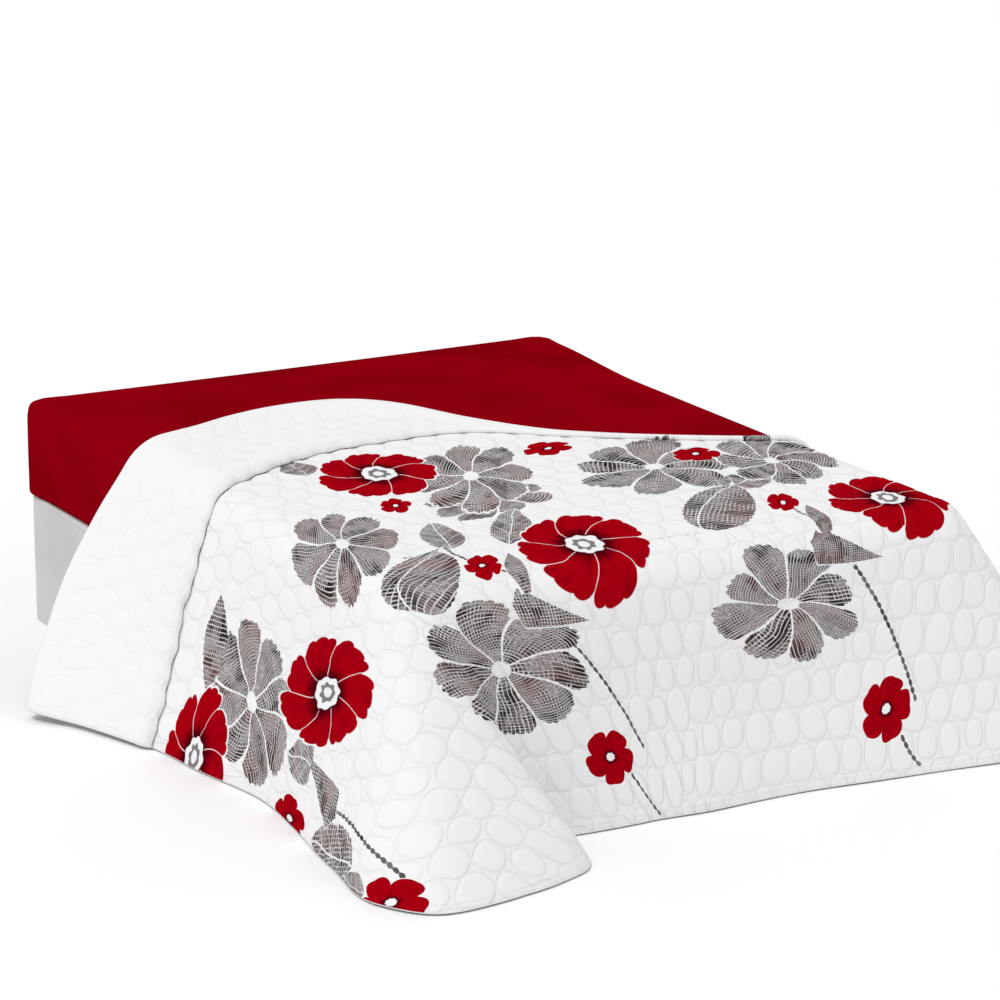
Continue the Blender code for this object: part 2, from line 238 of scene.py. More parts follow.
BRUSHED_OVER = (
    # kind, s, t, half length, half width, turn, seed
    (FAN, -0.19, -0.30, 0.310, 0.165, 62, 6),
    (FAN, 0.54, -0.47, 0.270, 0.160, 68, 7),
    (BUD, -0.635, -0.895, 0.165, 0.095, 50, 1),
    (BUD, 0.205, -0.770, 0.170, 0.095, 50, 2),
    (BRACT, -0.415, -1.075, 0.100, 0.056, -18, 3),
    (BRACT, 0.395, -1.040, 0.100, 0.054, -18, 4),
    (BRACT, -1.20, -0.845, 0.120, 0.060, 74, 5),
    (SPEAR, -0.43, -0.945, 0.100, 0.024, 72, 3),
    (SPEAR, 0.37, -0.930, 0.095, 0.024, 76, 4),
    (LEAF, -0.30, -0.69, 0.125, 0.050, 58, 2),
    (LEAF, -0.50, 0.00, 0.065, 0.045, 88, 4),
    (LEAF, -1.19, -0.70, 0.085, 0.060, 96, 9),
    (LEAF, -1.33, -1.13, 0.055, 0.035, 90, 5),
)
POPPY, BLOSSOM = range(2)
RED_FLOWERS = (
    # kind, s, t, half length, half width, turn, seed
    (POPPY, -0.365, -0.155, 0.205, 0.150, 72, 1),
    (POPPY, -0.215, -0.875, 0.218, 0.155, 58, 2),
    (POPPY, 0.605, -0.865, 0.190, 0.155, 60, 3),
    (POPPY, -1.015, -0.765, 0.252, 0.132, 107, 4),
    (POPPY, -1.315, -0.25, 0.180, 0.135, 176, 5),
    (BLOSSOM, -0.45, -0.41, 0.062, 0.040, 66, 1),
    (BLOSSOM, -0.49, -0.90, 0.080, 0.044, 60, 2),
    (BLOSSOM, 0.39, -0.36, 0.080, 0.058, 38, 3),
    (BLOSSOM, 0.355, -0.80, 0.076, 0.040, 56, 4),
    (BLOSSOM, 0.09, -0.17, 0.080, 0.055, 30, 9),
    (BLOSSOM, -0.385, -1.425, 0.092, 0.070, 12, 5),
    (BLOSSOM, 0.500, -1.425, 0.086, 0.072, 62, 6),
    (BLOSSOM, -1.325, -0.70, 0.108, 0.052, 94, 7),
    (BLOSSOM, -1.33, -1.26, 0.085, 0.054, 92, 8),
)
STEMS = (
    # start s, start t, end s, end t, bow to the left
    (-0.41, -1.11, -0.25, -1.42, 0.012),
    (-0.33, -1.47, -0.25, -1.58, -0.006),
    (0.41, -1.07, 0.585, -1.42, 0.018),
    (0.54, -1.49, 0.595, -1.57, -0.006),
    (-1.23, -0.92, -1.29, -1.29, 0.030),
    (-0.44, -0.99, -0.50, -0.93, -0.012),
    (0.37, -0.96, 0.36, -0.82, 0.014),
    (-0.50, -0.86, -0.50, -0.72, 0.006),
    (-0.48, -0.72, -0.62, -0.77, 0.020),
)
KIND_STEP = 10.0
MOTIF_MARGIN = 1.25
STEM_REACH = 0.030
FAR_OFF = 9.0

# Flat map: where the front and the back start and their height, then the rim's first
# strip, the step to the next one and a strip's height
FRONT_PART = (0.002, 0.55)
BACK_PART = (0.560, 0.41)
RIM_STRIP = (0.980, 0.008, 0.006)

# Camera at the photographed angle
CAMERA_PLACE = (-4.524, -8.2715, 3.0692)
CAMERA_YAW = np.radians(28.95)
CAMERA_PITCH = np.radians(15.43)
CAMERA_LENS = 144.0
SENSOR = 36.0

# Studio
SKY_STRENGTH = 0.74
SUN_STRENGTH = 1.2
SUN_ANGLE = np.radians(20.0)
SUN_FROM = (-0.48, -0.14, 0.85)


def smoothstep(low, high, value):
    share = np.clip((value - low) / (high - low), 0.0, 1.0)
    return share * share * (3.0 - 2.0 * share)


def curve_through(table, column, value):
    """Cubic through a table's rows; the slope at a row joins its two neighbours."""
    rows = np.array(table)
    place, height = rows[:, 0], rows[:, column]
    slope = np.gradient(height, place)
    at = np.clip(value, place[0], place[-1])
    cell = np.clip(np.searchsorted(place, at) - 1, 0, len(place) - 2)
    width = place[cell + 1] - place[cell]
    k = (at - place[cell]) / width
    start = (1 + 2 * k) * (1 - k) ** 2 * height[cell] + k * (1 - k) ** 2 * width * slope[cell]
    end = k * k * (3 - 2 * k) * height[cell + 1] + k * k * (k - 1) * width * slope[cell + 1]
    return start + end


def stretch_head(y):
    """Y with the bed's extra length at the head end, beyond the quilt."""
    return y + HEAD_ROOM * smoothstep(HEAD_STARTS, HEAD_FULL, y)


def bed_top(x, y):
    """Crowned top of the mattress: a parabola across times a flatter curve along."""
    across = np.clip(1.0 - (x / LINE_X) ** 2, 0.0, 1.0)
    along = np.clip(1.0 - (y / LINE_Y) ** 4, 0.0, 1.0)
    return MATTRESS_TOP + CROWN * across * along


def down_slope(x, y, out_x, out_y):
    """Angle at which the top falls away at a point of the shoulder line."""
    inside = bed_top(x - SMALL_STEP * out_x, y - SMALL_STEP * out_y)
    return np.arctan(np.clip(inside - bed_top(x, y), 0.0, None) / SMALL_STEP)


def corner_ray(angle):
    """Length of a ray from the fan's middle to the rounded corner of the cloth,
    and where it meets the hem, measured from the corner's middle."""
    middle = REACH - CLOTH_CORNER
    cos, sin = np.cos(angle), np.sin(angle)
    root = np.clip(CLOTH_CORNER**2 - middle**2 * (cos - sin) ** 2, 0.0, None)
    ray = middle * (cos + sin) + np.sqrt(root)
    around = np.arctan2(ray * sin - middle, ray * cos - middle) - np.pi / 4
    hem = CLOTH_CORNER * around
    down_side = REACH * np.tan(np.minimum(angle, np.pi / 4))
    along_foot = REACH / np.tan(np.maximum(angle, np.pi / 4))
    on_side, on_foot = down_side < middle, along_foot < middle
    ray = np.where(on_side, REACH / np.maximum(cos, LEAST_COS), ray)
    ray = np.where(on_foot, REACH / np.maximum(sin, LEAST_COS), ray)
    hem = np.where(on_side, down_side - HALF_CORNER, hem)
    return ray, np.where(on_foot, HALF_CORNER - along_foot, hem)


def hem_place(right, hem, folded):
    """Place of the hem from above, in the mirrored half (x away from the middle)."""
    found = []
    for column in (1, 2):
        left = curve_through(HEM_LEFT, column, hem) + folded * curve_through(FOLD_LEFT, column, hem)
        found.append(np.where(right, curve_through(HEM_RIGHT, column, hem), left))
    return BED_WIDTH / 2 - found[0], -BED_LENGTH / 2 + found[1]


def lay_cloth(s, t):
    """Place of the cloth's middle surface for cloth coordinates s and t.

    On top it keeps the mattress' crown. Past the shoulder line it follows an arc of
    the shoulder's radius, then the straight tangent from that arc to the hem.
    """
    right = s > 0
    side = np.where(right, 1.0, -1.0)
    away = np.abs(s)
    near_x, near_y = np.minimum(away, FAN_X), np.maximum(t, -FAN_Y)
    past_x, past_y = away - near_x, near_y - t
    angle = np.arctan2(past_y, past_x)
    inside = np.maximum(away - LINE_X, -LINE_Y - t)
    out = np.where(past_x + past_y > 0, np.hypot(past_x, past_y) - SHOULDER_CORNER, inside)

    ray, hem = corner_ray(angle)
    hem = np.where(past_y <= 0, -HALF_CORNER - (t + FAN_Y), hem)
    hem = np.where(past_x <= 0, HALF_CORNER + FAN_X - away, hem)
    share = np.clip(out / (ray - SHOULDER_CORNER), 0.0, 1.0)

    line_x = near_x + SHOULDER_CORNER * np.cos(angle)
    line_y = near_y - SHOULDER_CORNER * np.sin(angle)
    hem_x, hem_y = hem_place(right, hem, smoothstep(FOLD_STARTS, 1.0, share))
    out_x, out_y = np.cos(angle), -np.sin(angle)
    span = (hem_x - line_x) * out_x + (hem_y - line_y) * out_y

    lift = CLOTH / 2 + GAP_ON_EDGE
    radius = SHOULDER + lift
    start = down_slope(line_x, line_y, out_x, out_y)
    top = bed_top(line_x, line_y) + lift
    from_middle = span + radius * np.sin(start)
    below = top - HEM_HEIGHT - radius * np.cos(start)
    far = np.hypot(from_middle, below)
    end = np.arctan2(from_middle, -below) - np.arccos(radius / far)
    arc = radius * (end - start)
    straight = np.sqrt(far**2 - radius**2)
    along = share * (arc + straight)
    turn = np.minimum(start + along / radius, end)
    run = np.maximum(along - arc, 0.0)
    sag = SAG * np.sin(np.pi * run / straight) ** 2
    gone = radius * (np.sin(turn) - np.sin(start)) + run * np.cos(end) - sag * np.sin(end)
    fall = radius * (np.cos(start) - np.cos(turn)) + run * np.sin(end) + sag * np.cos(end)

    on_top = out <= 0
    rise = GAP_ON_TOP + (GAP_ON_EDGE - GAP_ON_TOP) * smoothstep(-GAP_BLEND, 0.0, out)
    down = fall / (top - HEM_HEIGHT)
    x = np.where(on_top, away, line_x + out_x * gone + (hem_x - line_x - out_x * span) * down)
    y = np.where(on_top, t, line_y + out_y * gone + (hem_y - line_y - out_y * span) * down)
    z = np.where(on_top, bed_top(away, t) + CLOTH / 2 + rise, top - fall)
    return np.stack([side * x, y, z], axis=-1)


def unit(vectors):
    return vectors / np.maximum(np.linalg.norm(vectors, axis=-1, keepdims=True), TINY)


def outward(s, t):
    """Outward unit normal of the laid cloth, from small steps along s and t."""
    across = lay_cloth(s + SMALL_STEP, t) - lay_cloth(s - SMALL_STEP, t)
    along = lay_cloth(s, t + SMALL_STEP) - lay_cloth(s, t - SMALL_STEP)
    return unit(np.cross(across, along))


def round_corner(s, t):
    """Draws the grid in to the cloth's rounded foot corners: squares become circles."""
    past_s = np.abs(s) - (CLOTH_HALF_WIDTH - CLOTH_CORNER)
    past_t = FOOT_HEM + CLOTH_CORNER - t
    corner = (past_s > 0) & (past_t > 0)
    pull = np.maximum(past_s, past_t) / np.maximum(np.hypot(past_s, past_t), TINY)
    new_s = np.sign(s) * (CLOTH_HALF_WIDTH - CLOTH_CORNER + past_s * pull)
    new_t = FOOT_HEM + CLOTH_CORNER - past_t * pull
    return np.where(corner, new_s, s), np.where(corner, new_t, t)


def swell(x, y, waves, shortest, longest, seed):
    """Smooth uneven field from -1 to 1: a sum of sine waves in seeded directions."""
    random = np.random.default_rng(seed)
    turn = random.uniform(0, np.pi, waves)
    length = random.uniform(shortest, longest, waves)
    start = random.uniform(0, 2 * np.pi, waves)
    total = sum(
        np.sin(2 * np.pi * (x * np.cos(a) + y * np.sin(a)) / size + p)
        for a, size, p in zip(turn, length, start)
    )
    return total / waves


def border_loop(rows, columns):
    """Grid places round the border, anticlockwise seen from the front."""
    row = np.concatenate([
        np.zeros(columns - 1, int),
        np.arange(rows - 1),
        np.full(columns - 1, rows - 1),
        np.arange(rows - 1, 0, -1),
    ])
    column = np.concatenate([
        np.arange(columns - 1),
        np.full(rows - 1, columns - 1),
        np.arange(columns - 1, 0, -1),
        np.zeros(rows - 1, int),
    ])
    return row, column


def grid_quads(rows, columns):
    row, column = np.meshgrid(np.arange(rows - 1), np.arange(columns - 1), indexing="ij")
    low = (row * columns + column).ravel()
    return np.stack([low, low + 1, low + columns + 1, low + columns], 1)


def strip_quads(lower, upper):
    """Quads between two closed loops of point numbers that run the same way."""
    return np.stack([lower, np.roll(lower, -1), np.roll(upper, -1), upper], 1)


def make_mesh(name, points, quads, caps=()):
    """Mesh of quads, with any further faces given as lists of point numbers."""
    mesh = bpy.data.meshes.new(name)
    mesh.from_pydata(points.tolist(), [], quads.tolist() + [list(cap) for cap in caps])
    mesh.update()
    mesh.shade_smooth()
    thing = bpy.data.objects.new(name, mesh)
    bpy.context.scene.collection.objects.link(thing)
    return thing


def corner_vectors(mesh, name, values):
    """Stores a vector for each face corner under a name that the materials read."""
    layer = mesh.attributes.new(name, "FLOAT_VECTOR", "CORNER")
    layer.data.foreach_set("vector", np.ascontiguousarray(values, np.float32).ravel())


def push_apart(s, t, radius, rounds):
    """Moves circles that overlap apart, each pair by half of its overlap a round."""
    for _ in range(rounds):
        gap_s = s[:, None] - s[None, :]
        gap_t = t[:, None] - t[None, :]
        apart = np.hypot(gap_s, gap_t) + np.eye(len(s))
        overlap = np.clip(radius[:, None] + radius[None, :] + CHANNEL - apart, 0.0, None)
        np.fill_diagonal(overlap, 0.0)
        s = s + PEBBLE_PUSH * (overlap * gap_s / apart).sum(1)
        t = t + PEBBLE_PUSH * (overlap * gap_t / apart).sum(1)
    return s, t


def lay_pebbles():
    """Ovals of the quilting: staggered rows with uneven sizes, pushed apart, then
    small ones in the widest gaps. Gives s, t, half width, half height and turn."""
    random = np.random.default_rng(PEBBLE_SEED)
    half_t = (-FOOT_HEM + PEBBLE_HEAD_END) / 2 / PEBBLE_TALL
    step_t = PEBBLE_PITCH * np.sqrt(3) / 2
    rows = np.arange(-half_t, half_t + step_t, step_t)
    columns = np.arange(-CLOTH_HALF_WIDTH, CLOTH_HALF_WIDTH + PEBBLE_PITCH, PEBBLE_PITCH)
    s, t = np.meshgrid(columns, rows)
    s = s + PEBBLE_PITCH / 2 * (np.arange(len(rows)) % 2)[:, None]
    s, t = s.ravel(), t.ravel()
    s = s + random.uniform(-PEBBLE_JITTER, PEBBLE_JITTER, len(s))
    t = t + random.uniform(-PEBBLE_JITTER, PEBBLE_JITTER, len(t))
    radius = random.uniform(*PEBBLE_RADII, len(s))
    s, t = push_apart(s, t, radius, PEBBLE_ROUNDS)

    tries_s = random.uniform(s.min(), s.max(), FILLER_TRIES)
    tries_t = random.uniform(t.min(), t.max(), FILLER_TRIES)
    room = np.hypot(tries_s[:, None] - s, tries_t[:, None] - t) - radius
    room = room.min(1) - FILLER_CHANNEL
    for pick in np.argsort(-room)[:FILLER_MOST]:
        free = np.hypot(tries_s[pick] - s, tries_t[pick] - t) - radius
        size = free.min() - FILLER_CHANNEL
        if size > FILLER_RADII[0]:
            s, t = np.append(s, tries_s[pick]), np.append(t, tries_t[pick])
            radius = np.append(radius, min(size, FILLER_RADII[1]))
    stretch = random.uniform(*PEBBLE_STRETCH, len(s))
    turn = random.uniform(-PEBBLE_LEAN, PEBBLE_LEAN, len(s))
    middle_t = t * PEBBLE_TALL + (FOOT_HEM + PEBBLE_HEAD_END) / 2
    return np.stack([s, middle_t, radius * stretch, radius * PEBBLE_TALL / stretch, turn], 1)


def rounded_distance(x, y):
    """Distance in a rounded square: the power sum of x and y, 1 on the outline."""
    return (np.abs(x) ** PEBBLE_POWER + np.abs(y) ** PEBBLE_POWER) ** (1 / PEBBLE_POWER)


def inside_oval(s, t, ovals):
    """Place of each point in the frame of its own oval, 1 at the oval's outline."""
    cos, sin = np.cos(ovals[..., 4]), np.sin(ovals[..., 4])
    off_s, off_t = s - ovals[..., 0], t - ovals[..., 1]
    along = (off_s * cos + off_t * sin) / ovals[..., 2]
    across = (off_t * cos - off_s * sin) / ovals[..., 3]
    return along, across


def nearest_ovals(s, t, ovals):
    """Numbers of the two ovals whose outlines lie nearest to each point."""
    found = []
    for part_s, part_t in zip(np.array_split(s, OVAL_BATCHES), np.array_split(t, OVAL_BATCHES)):
        along, across = inside_oval(part_s[:, None], part_t[:, None], ovals[None])
        size = (ovals[:, 2] + ovals[:, 3]) / 2
        off = (rounded_distance(along, across) - 1.0) * size
        found.append(np.argpartition(off, 2, axis=1)[:, :2])
    return np.concatenate(found)


def quilting_relief(s, t, ovals):
    """Height of the quilting from -1 in a stitched line to 1 on a pebble's crown."""
    near = ovals[nearest_ovals(s.ravel(), t.ravel(), ovals)]
    along, across = inside_oval(s.ravel()[:, None], t.ravel()[:, None], near)
    inwards = (1.0 - rounded_distance(along, across)) * (near[..., 2] + near[..., 3]) / 2
    inwards = inwards.max(1).reshape(s.shape)
    crown = smoothstep(0.0, PUFF_SHOULDER, inwards)
    ridge = 0.45 * smoothstep(0.0, PUFF_SHOULDER / 2, -inwards)
    return 2.0 * np.maximum(crown, ridge) - 1.0


def cloth_sheet():
    """Grid of the cloth: its own coordinates on body and flap, and middle surface."""
    s = np.linspace(-CLOTH_HALF_WIDTH, CLOTH_HALF_WIDTH, COLUMNS + 1)
    crease = curve_through(HEAD_END, 1, s)
    width = curve_through(HEAD_END, 2, s)
    full = smoothstep(0.0, ROLL_FULL_WIDTH, width)
    radius = ROLL_RADIUS_AT_HEM + (ROLL_RADIUS - ROLL_RADIUS_AT_HEM) * full

    up = (np.arange(BODY_ROWS + 1) / BODY_ROWS)[:, None]
    turn = (np.pi * np.arange(1, ROLL_ROWS + 1) / ROLL_ROWS)[:, None]
    back = (np.arange(1, FLAP_ROWS + 1) / FLAP_ROWS)[:, None]
    settled = smoothstep(0.0, FLAP_SETTLES, back * width)
    loft = np.maximum(1.0 - settled, FLAP_LOFT) * smoothstep(0.0, FLAP_FALL, (1.0 - back) * width)
    flap_height = 2 * (ROLL_RADIUS_AT_HEM + (radius - ROLL_RADIUS_AT_HEM) * loft)
    from_edge = (1.0 - back) * width
    flap_height = flap_height - EDGE_SINK * (1.0 - smoothstep(0.0, SINK_REACH, from_edge))
    body = FOOT_HEM + up * (crease - FOOT_HEM)
    wavy = EDGE_WAVE * full * swell(s, 0 * s, 5, *WAVE_SIZES, seed=31)
    flap = crease - back * (width + wavy * back**4)

    t = np.concatenate([body, crease + radius * np.sin(turn), flap])
    height = np.concatenate([0 * body, radius * (1 - np.cos(turn)), flap_height])
    cloth_t = np.concatenate([body, crease + radius * turn, flap])
    s = np.repeat(s[None, :], len(t), axis=0)
    s, t = round_corner(s, t)
    cloth_t[: BODY_ROWS + 1] = t[: BODY_ROWS + 1]
    out = np.maximum(np.abs(s) - LINE_X, -LINE_Y - t)
    loose = smoothstep(*RIPPLE_STARTS, out)
    ripple = 0.5 + 0.8 * swell(s, t, 6, *RIPPLE_SIZES, seed=3)
    height = height + loose * RIPPLE * np.clip(ripple, 0.0, 1.0)
    points = lay_cloth(s, t) + height[..., None] * outward(s, t)

    on_roll = (np.maximum(np.arange(len(t)) - BODY_ROWS, 0) / ROLL_ROWS)[:, None]
    on_body = 1.0 - smoothstep(0.0, 0.6, on_roll)
    on_flap = np.concatenate([np.zeros_like(t[: BODY_ROWS + ROLL_ROWS + 1]),
                              smoothstep(0.0, 0.04, back * width)])
    return s, t, cloth_t, points, on_body, on_flap


def make_quilt():
    """Closed sheet: the middle surface moved out by the cloth's half thickness and the
    quilting on both sides, with a rounded rim all round."""
    s, t, cloth_t, middle, on_body, on_flap = cloth_sheet()
    rows, columns = s.shape
    across = np.gradient(middle, axis=1)
    along = np.gradient(middle, axis=0)
    normal = unit(np.cross(across, along))
    row, column = border_loop(rows, columns)

    ovals = lay_pebbles()
    relief = quilting_relief(s, cloth_t, ovals)
    edge = hem_distance(s, t, cloth_t)
    stitch = 1.0 - smoothstep(0.0, STITCH_HALF, np.abs(edge - HEM_STITCH))
    relief = relief * smoothstep(*RIM_PLAIN, edge) - STITCH_DEEP * stitch
    thin = RIM_THINNER * (1.0 - smoothstep(0.0, RIM_WIDTH, edge))
    turned = (np.arange(rows) >= BODY_ROWS + ROLL_ROWS)[:, None]
    thin = thin - EDGE_PUFF * turned * (1.0 - smoothstep(0.0, PUFF_REACH, edge))
    up, down = np.clip(relief, 0.0, 1.0), np.clip(relief, -1.0, 0.0)
    shown, hidden = PUFF * up + SINK * down, BACK_SHARE * SINK * down
    front = CLOTH / 2 - thin + on_body * shown + on_flap * hidden
    rear = CLOTH / 2 - thin + on_body * hidden + on_flap * shown

    before = middle[row, column]
    inner_row = np.clip(row, 1, rows - 2)
    inner_column = np.clip(column, 1, columns - 2)
    outwards = unit(before - middle[inner_row, inner_column])
    rim = before + RIM_OUT * outwards
    points = np.concatenate([
        (middle + front[..., None] * normal).reshape(-1, 3),
        (middle - rear[..., None] * normal).reshape(-1, 3),
        rim,
    ])
    count = rows * columns
    quads = grid_quads(rows, columns)
    ring = row * columns + column
    round_rim = 2 * count + np.arange(len(ring))
    faces = np.concatenate([
        quads,
        quads[:, ::-1] + count,
        strip_quads(round_rim, ring),
        strip_quads(ring + count, round_rim),
    ])
    quilt = make_mesh("quilt_cloth", points, faces)

    grid_place = np.concatenate([np.arange(count), np.arange(count), ring])
    corners = grid_place[faces]
    face_row = np.concatenate([quads[:, 0] // columns] * 2 + [ring // columns] * 2)
    laid = face_row >= BODY_ROWS + ROLL_ROWS
    flap_t = np.where(turned, t, cloth_t)
    corner_s = s.ravel()[corners]
    corner_t = np.where(laid[:, None], flap_t.ravel()[corners], cloth_t.ravel()[corners])
    is_front = np.arange(len(faces)) < len(quads)
    narrow = curve_through(HEAD_END, 2, corner_s.mean(1)) < HEM_FOLD
    in_hem = ~is_front & (face_row >= BODY_ROWS) & narrow
    printed = (is_front & ~laid) | in_hem
    near_print = paint_quilt(quilt, corner_s, corner_t, edge.ravel()[corners], printed, ovals)
    bake_map(quilt.data, corners, faces, rows, columns, len(quads))

    for material in (printed_cotton(), white_cotton(), plain_cotton()):
        quilt.data.materials.append(material)
    front_kind = np.where(near_print, 0, 1)
    kind = np.where(is_front | in_hem, front_kind, 2).astype(np.int32)
    quilt.data.polygons.foreach_set("material_index", kind)
    return quilt


def hem_distance(s, t, cloth_t):
    """Distance in the cloth from the nearest hem, round the foot corners too."""
    side = CLOTH_HALF_WIDTH - np.abs(s)
    foot = t - FOOT_HEM
    corner_s = np.abs(s) - (CLOTH_HALF_WIDTH - CLOTH_CORNER)
    corner_t = FOOT_HEM + CLOTH_CORNER - t
    corner = CLOTH_CORNER - np.hypot(corner_s, corner_t)
    body = np.where((corner_s > 0) & (corner_t > 0), corner, np.minimum(side, foot))
    crease = curve_through(HEAD_END, 1, s[0])
    width = curve_through(HEAD_END, 2, s[0])
    on_flap = np.arange(len(t))[:, None] > BODY_ROWS + ROLL_ROWS
    head = width - (crease - t)
    return np.where(on_flap, np.minimum(side, head), np.where(t > -FAN_Y, side, body))


def motif_places(s, t, rows):
    """For each face corner, its place in the nearest motif of a table, 1 at the tip of
    its half length and half width, with KIND_STEP times the kind plus the seed as
    third."""
    table = np.array(rows, float)
    middle_s, middle_t = s.mean(1)[:, None], t.mean(1)[:, None]
    ovals = np.column_stack([table[:, 1:5], np.radians(table[:, 5])])
    x, y = inside_oval(middle_s, middle_t, ovals[None])
    off = np.hypot(x, y)
    near = off.argmin(1)
    x, y = inside_oval(s, t, ovals[near][:, None])
    number = np.repeat((KIND_STEP * table[near, 0] + table[near, 6])[:, None], 4, axis=1)
    return np.stack([x, y, number], -1), off.min(1) < MOTIF_MARGIN


def stem_places(s, t, rows):
    """For each face corner, metres along and metres across the nearest bowed stem."""
    table = np.array(rows)
    start, end, bow = table[:, :2], table[:, 2:4], table[:, 4]
    length = np.linalg.norm(end - start, axis=1)
    run = (end - start) / length[:, None]

    def place(at_s, at_t, number):
        off_s, off_t = at_s - start[number, 0], at_t - start[number, 1]
        along = off_s * run[number, 0] + off_t * run[number, 1]
        across = off_t * run[number, 0] - off_s * run[number, 1]
        share = np.clip(along / length[number], 0.0, 1.0)
        return along, across - bow[number] * 4 * share * (1 - share)

    every = np.arange(len(table))[None, :]
    along, across = place(s.mean(1)[:, None], t.mean(1)[:, None], every)
    past = np.maximum(np.maximum(-along, along - length), 0.0)
    off = np.hypot(across, past)
    near = off.argmin(1)
    along, across = place(s, t, near[:, None])
    share = along / length[near][:, None]
    return np.stack([along, across, share], -1), off.min(1) < STEM_REACH


def paint_quilt(quilt, s, t, edge, printed, ovals):
    """Stores, for each face corner, the cloth coordinates and the places in motifs.
    Gives the faces that a motif can reach."""
    mesh = quilt.data
    corner_vectors(mesh, "cloth", np.stack([s, t, edge], -1))
    pair = nearest_ovals(s.mean(1), t.mean(1), ovals)
    for name, number in zip(("pebble_first", "pebble_second"), pair.T):
        own = ovals[number][:, None]
        x, y = inside_oval(s, t, own)
        size = np.repeat((own[..., 2] + own[..., 3]) / 2, 4, axis=1)
        corner_vectors(mesh, name, np.stack([x, y, size], -1))
    layers = (
        ("brushed_under", motif_places, BRUSHED_UNDER),
        ("brushed_over", motif_places, BRUSHED_OVER),
        ("red_flowers", motif_places, RED_FLOWERS),
        ("stems", stem_places, STEMS),
    )
    reached = np.zeros(len(s), bool)
    for name, places, rows in layers:
        value, near = places(s, t, rows)
        off = np.full_like(value, FAR_OFF)
        off[..., 2] = 0.0
        corner_vectors(mesh, name, np.where((printed & near)[:, None, None], value, off))
        reached |= printed & near
    return reached


def bake_map(mesh, corners, faces, rows, columns, side_faces):
    """Flat map of the sheet: the front below, the back above it, and the rim's two
    halves as strips at the top."""
    u = (corners % columns) / (columns - 1)
    v = (corners // columns) / (rows - 1)
    kind = np.minimum(np.arange(len(faces)) // side_faces, 2)[:, None]
    rim = (faces.shape[0] - 2 * side_faces) // 2
    number = (np.arange(len(faces)) - 2 * side_faces)[:, None]
    lap = number // max(rim, 1)
    rim_u = (number % rim + np.array([[0, 1, 1, 0]])) / rim
    rim_v = RIM_STRIP[0] + RIM_STRIP[1] * lap + RIM_STRIP[2] * np.array([[0, 0, 1, 1]])
    flat_v = np.where(kind == 0, FRONT_PART[0] + FRONT_PART[1] * v, BACK_PART[0] + BACK_PART[1] * v)
    flat_u = FRONT_PART[0] + (1.0 - 2 * FRONT_PART[0]) * u
    place = np.stack([np.where(kind == 2, rim_u, flat_u), np.where(kind == 2, rim_v, flat_v)], -1)
    layer = mesh.uv_layers.new(name="OFBake")
    layer.uv.foreach_set("vector", place.astype(np.float32).ravel())


class Wire:
    """A number that varies over the surface. Arithmetic on it adds Math nodes."""

    def __init__(self, graph, socket):
        self.graph, self.socket = graph, socket

    def __add__(self, other):
        return self.graph.math("ADD", self, other)

    def __sub__(self, other):
        return self.graph.math("SUBTRACT", self, other)

    def __rsub__(self, other):
        return self.graph.math("SUBTRACT", other, self)

    def __mul__(self, other):
        return self.graph.math("MULTIPLY", self, other)

    def __truediv__(self, other):
        return self.graph.math("DIVIDE", self, other)

    def __pow__(self, other):
        return self.graph.math("POWER", self, other)

    def __neg__(self):
        return self.graph.math("MULTIPLY", self, -1.0)

    __radd__, __rmul__ = __add__, __mul__


class Graph:
    """Short calls that add a node each to a node tree and give its output."""

    def __init__(self, tree):
        self.tree = tree

    def feed(self, socket, value):
        if isinstance(value, Wire):
            self.tree.links.new(value.socket, socket)
        else:
            socket.default_value = value

    def node(self, kind, inputs, output=0, **settings):
        node = self.tree.nodes.new(kind)
        for name, value in settings.items():
            setattr(node, name, value)
        for key, value in inputs.items():
            self.feed(node.inputs[key], value)
        return Wire(self, node.outputs[output])

    def math(self, operation, *values):
        return self.node("ShaderNodeMath", dict(enumerate(values)), operation=operation)

    def fade(self, low, high, value):
        """0 at low and 1 at high, smooth between them."""
        inputs = {"Value": value, "From Min": low, "From Max": high}
        return self.node("ShaderNodeMapRange", inputs, interpolation_type="SMOOTHSTEP")

    def below(self, value, limit, soft):
        """1 where the value is under the limit and 0 over it, with a soft edge."""
        return self.fade(0.0, 1.0, (limit - value) / soft + 0.5)

    def mix(self, share, first, second):
        return self.node("ShaderNodeMix", {0: share, 6: first, 7: second}, 2, data_type="RGBA")

    def pick(self, share, first, second):
        return self.node("ShaderNodeMix", {0: share, 2: first, 3: second}, 0, data_type="FLOAT")

    def blend(self, share, first, second):
        return self.node("ShaderNodeMix", {0: share, 4: first, 5: second}, 1, data_type="VECTOR")

    def split(self, vector):
        parts = self.node("ShaderNodeSeparateXYZ", {0: vector})
        return [Wire(self, socket) for socket in parts.socket.node.outputs]

    def join(self, x, y=0.0, z=0.0):
        return self.node("ShaderNodeCombineXYZ", {0: x, 1: y, 2: z})

    def noise(self, vector, scale, detail=2.0, output="Fac"):
        inputs = {"Vector": vector, "Scale": scale, "Detail": detail}
        return self.node("ShaderNodeTexNoise", inputs, output)

    def chance(self, *numbers):
        """Random value from 0 to 1 for up to three whole numbers."""
        return self.node("ShaderNodeTexWhiteNoise", {0: self.join(*numbers)}, "Value")

    def attribute(self, name):
        return self.node("ShaderNodeAttribute", {}, "Vector", attribute_name=name)

    def group(self, tree, **inputs):
        """Places a node group; gives its outputs by name."""
        node = self.tree.nodes.new("ShaderNodeGroup")
        node.node_tree = tree
        for name, value in inputs.items():
            self.feed(node.inputs[name.replace("_", " ").capitalize()], value)
        return {socket.name: Wire(self, socket) for socket in node.outputs}


KINDS = {"number": "NodeSocketFloat", "vector": "NodeSocketVector", "colour": "NodeSocketColor"}


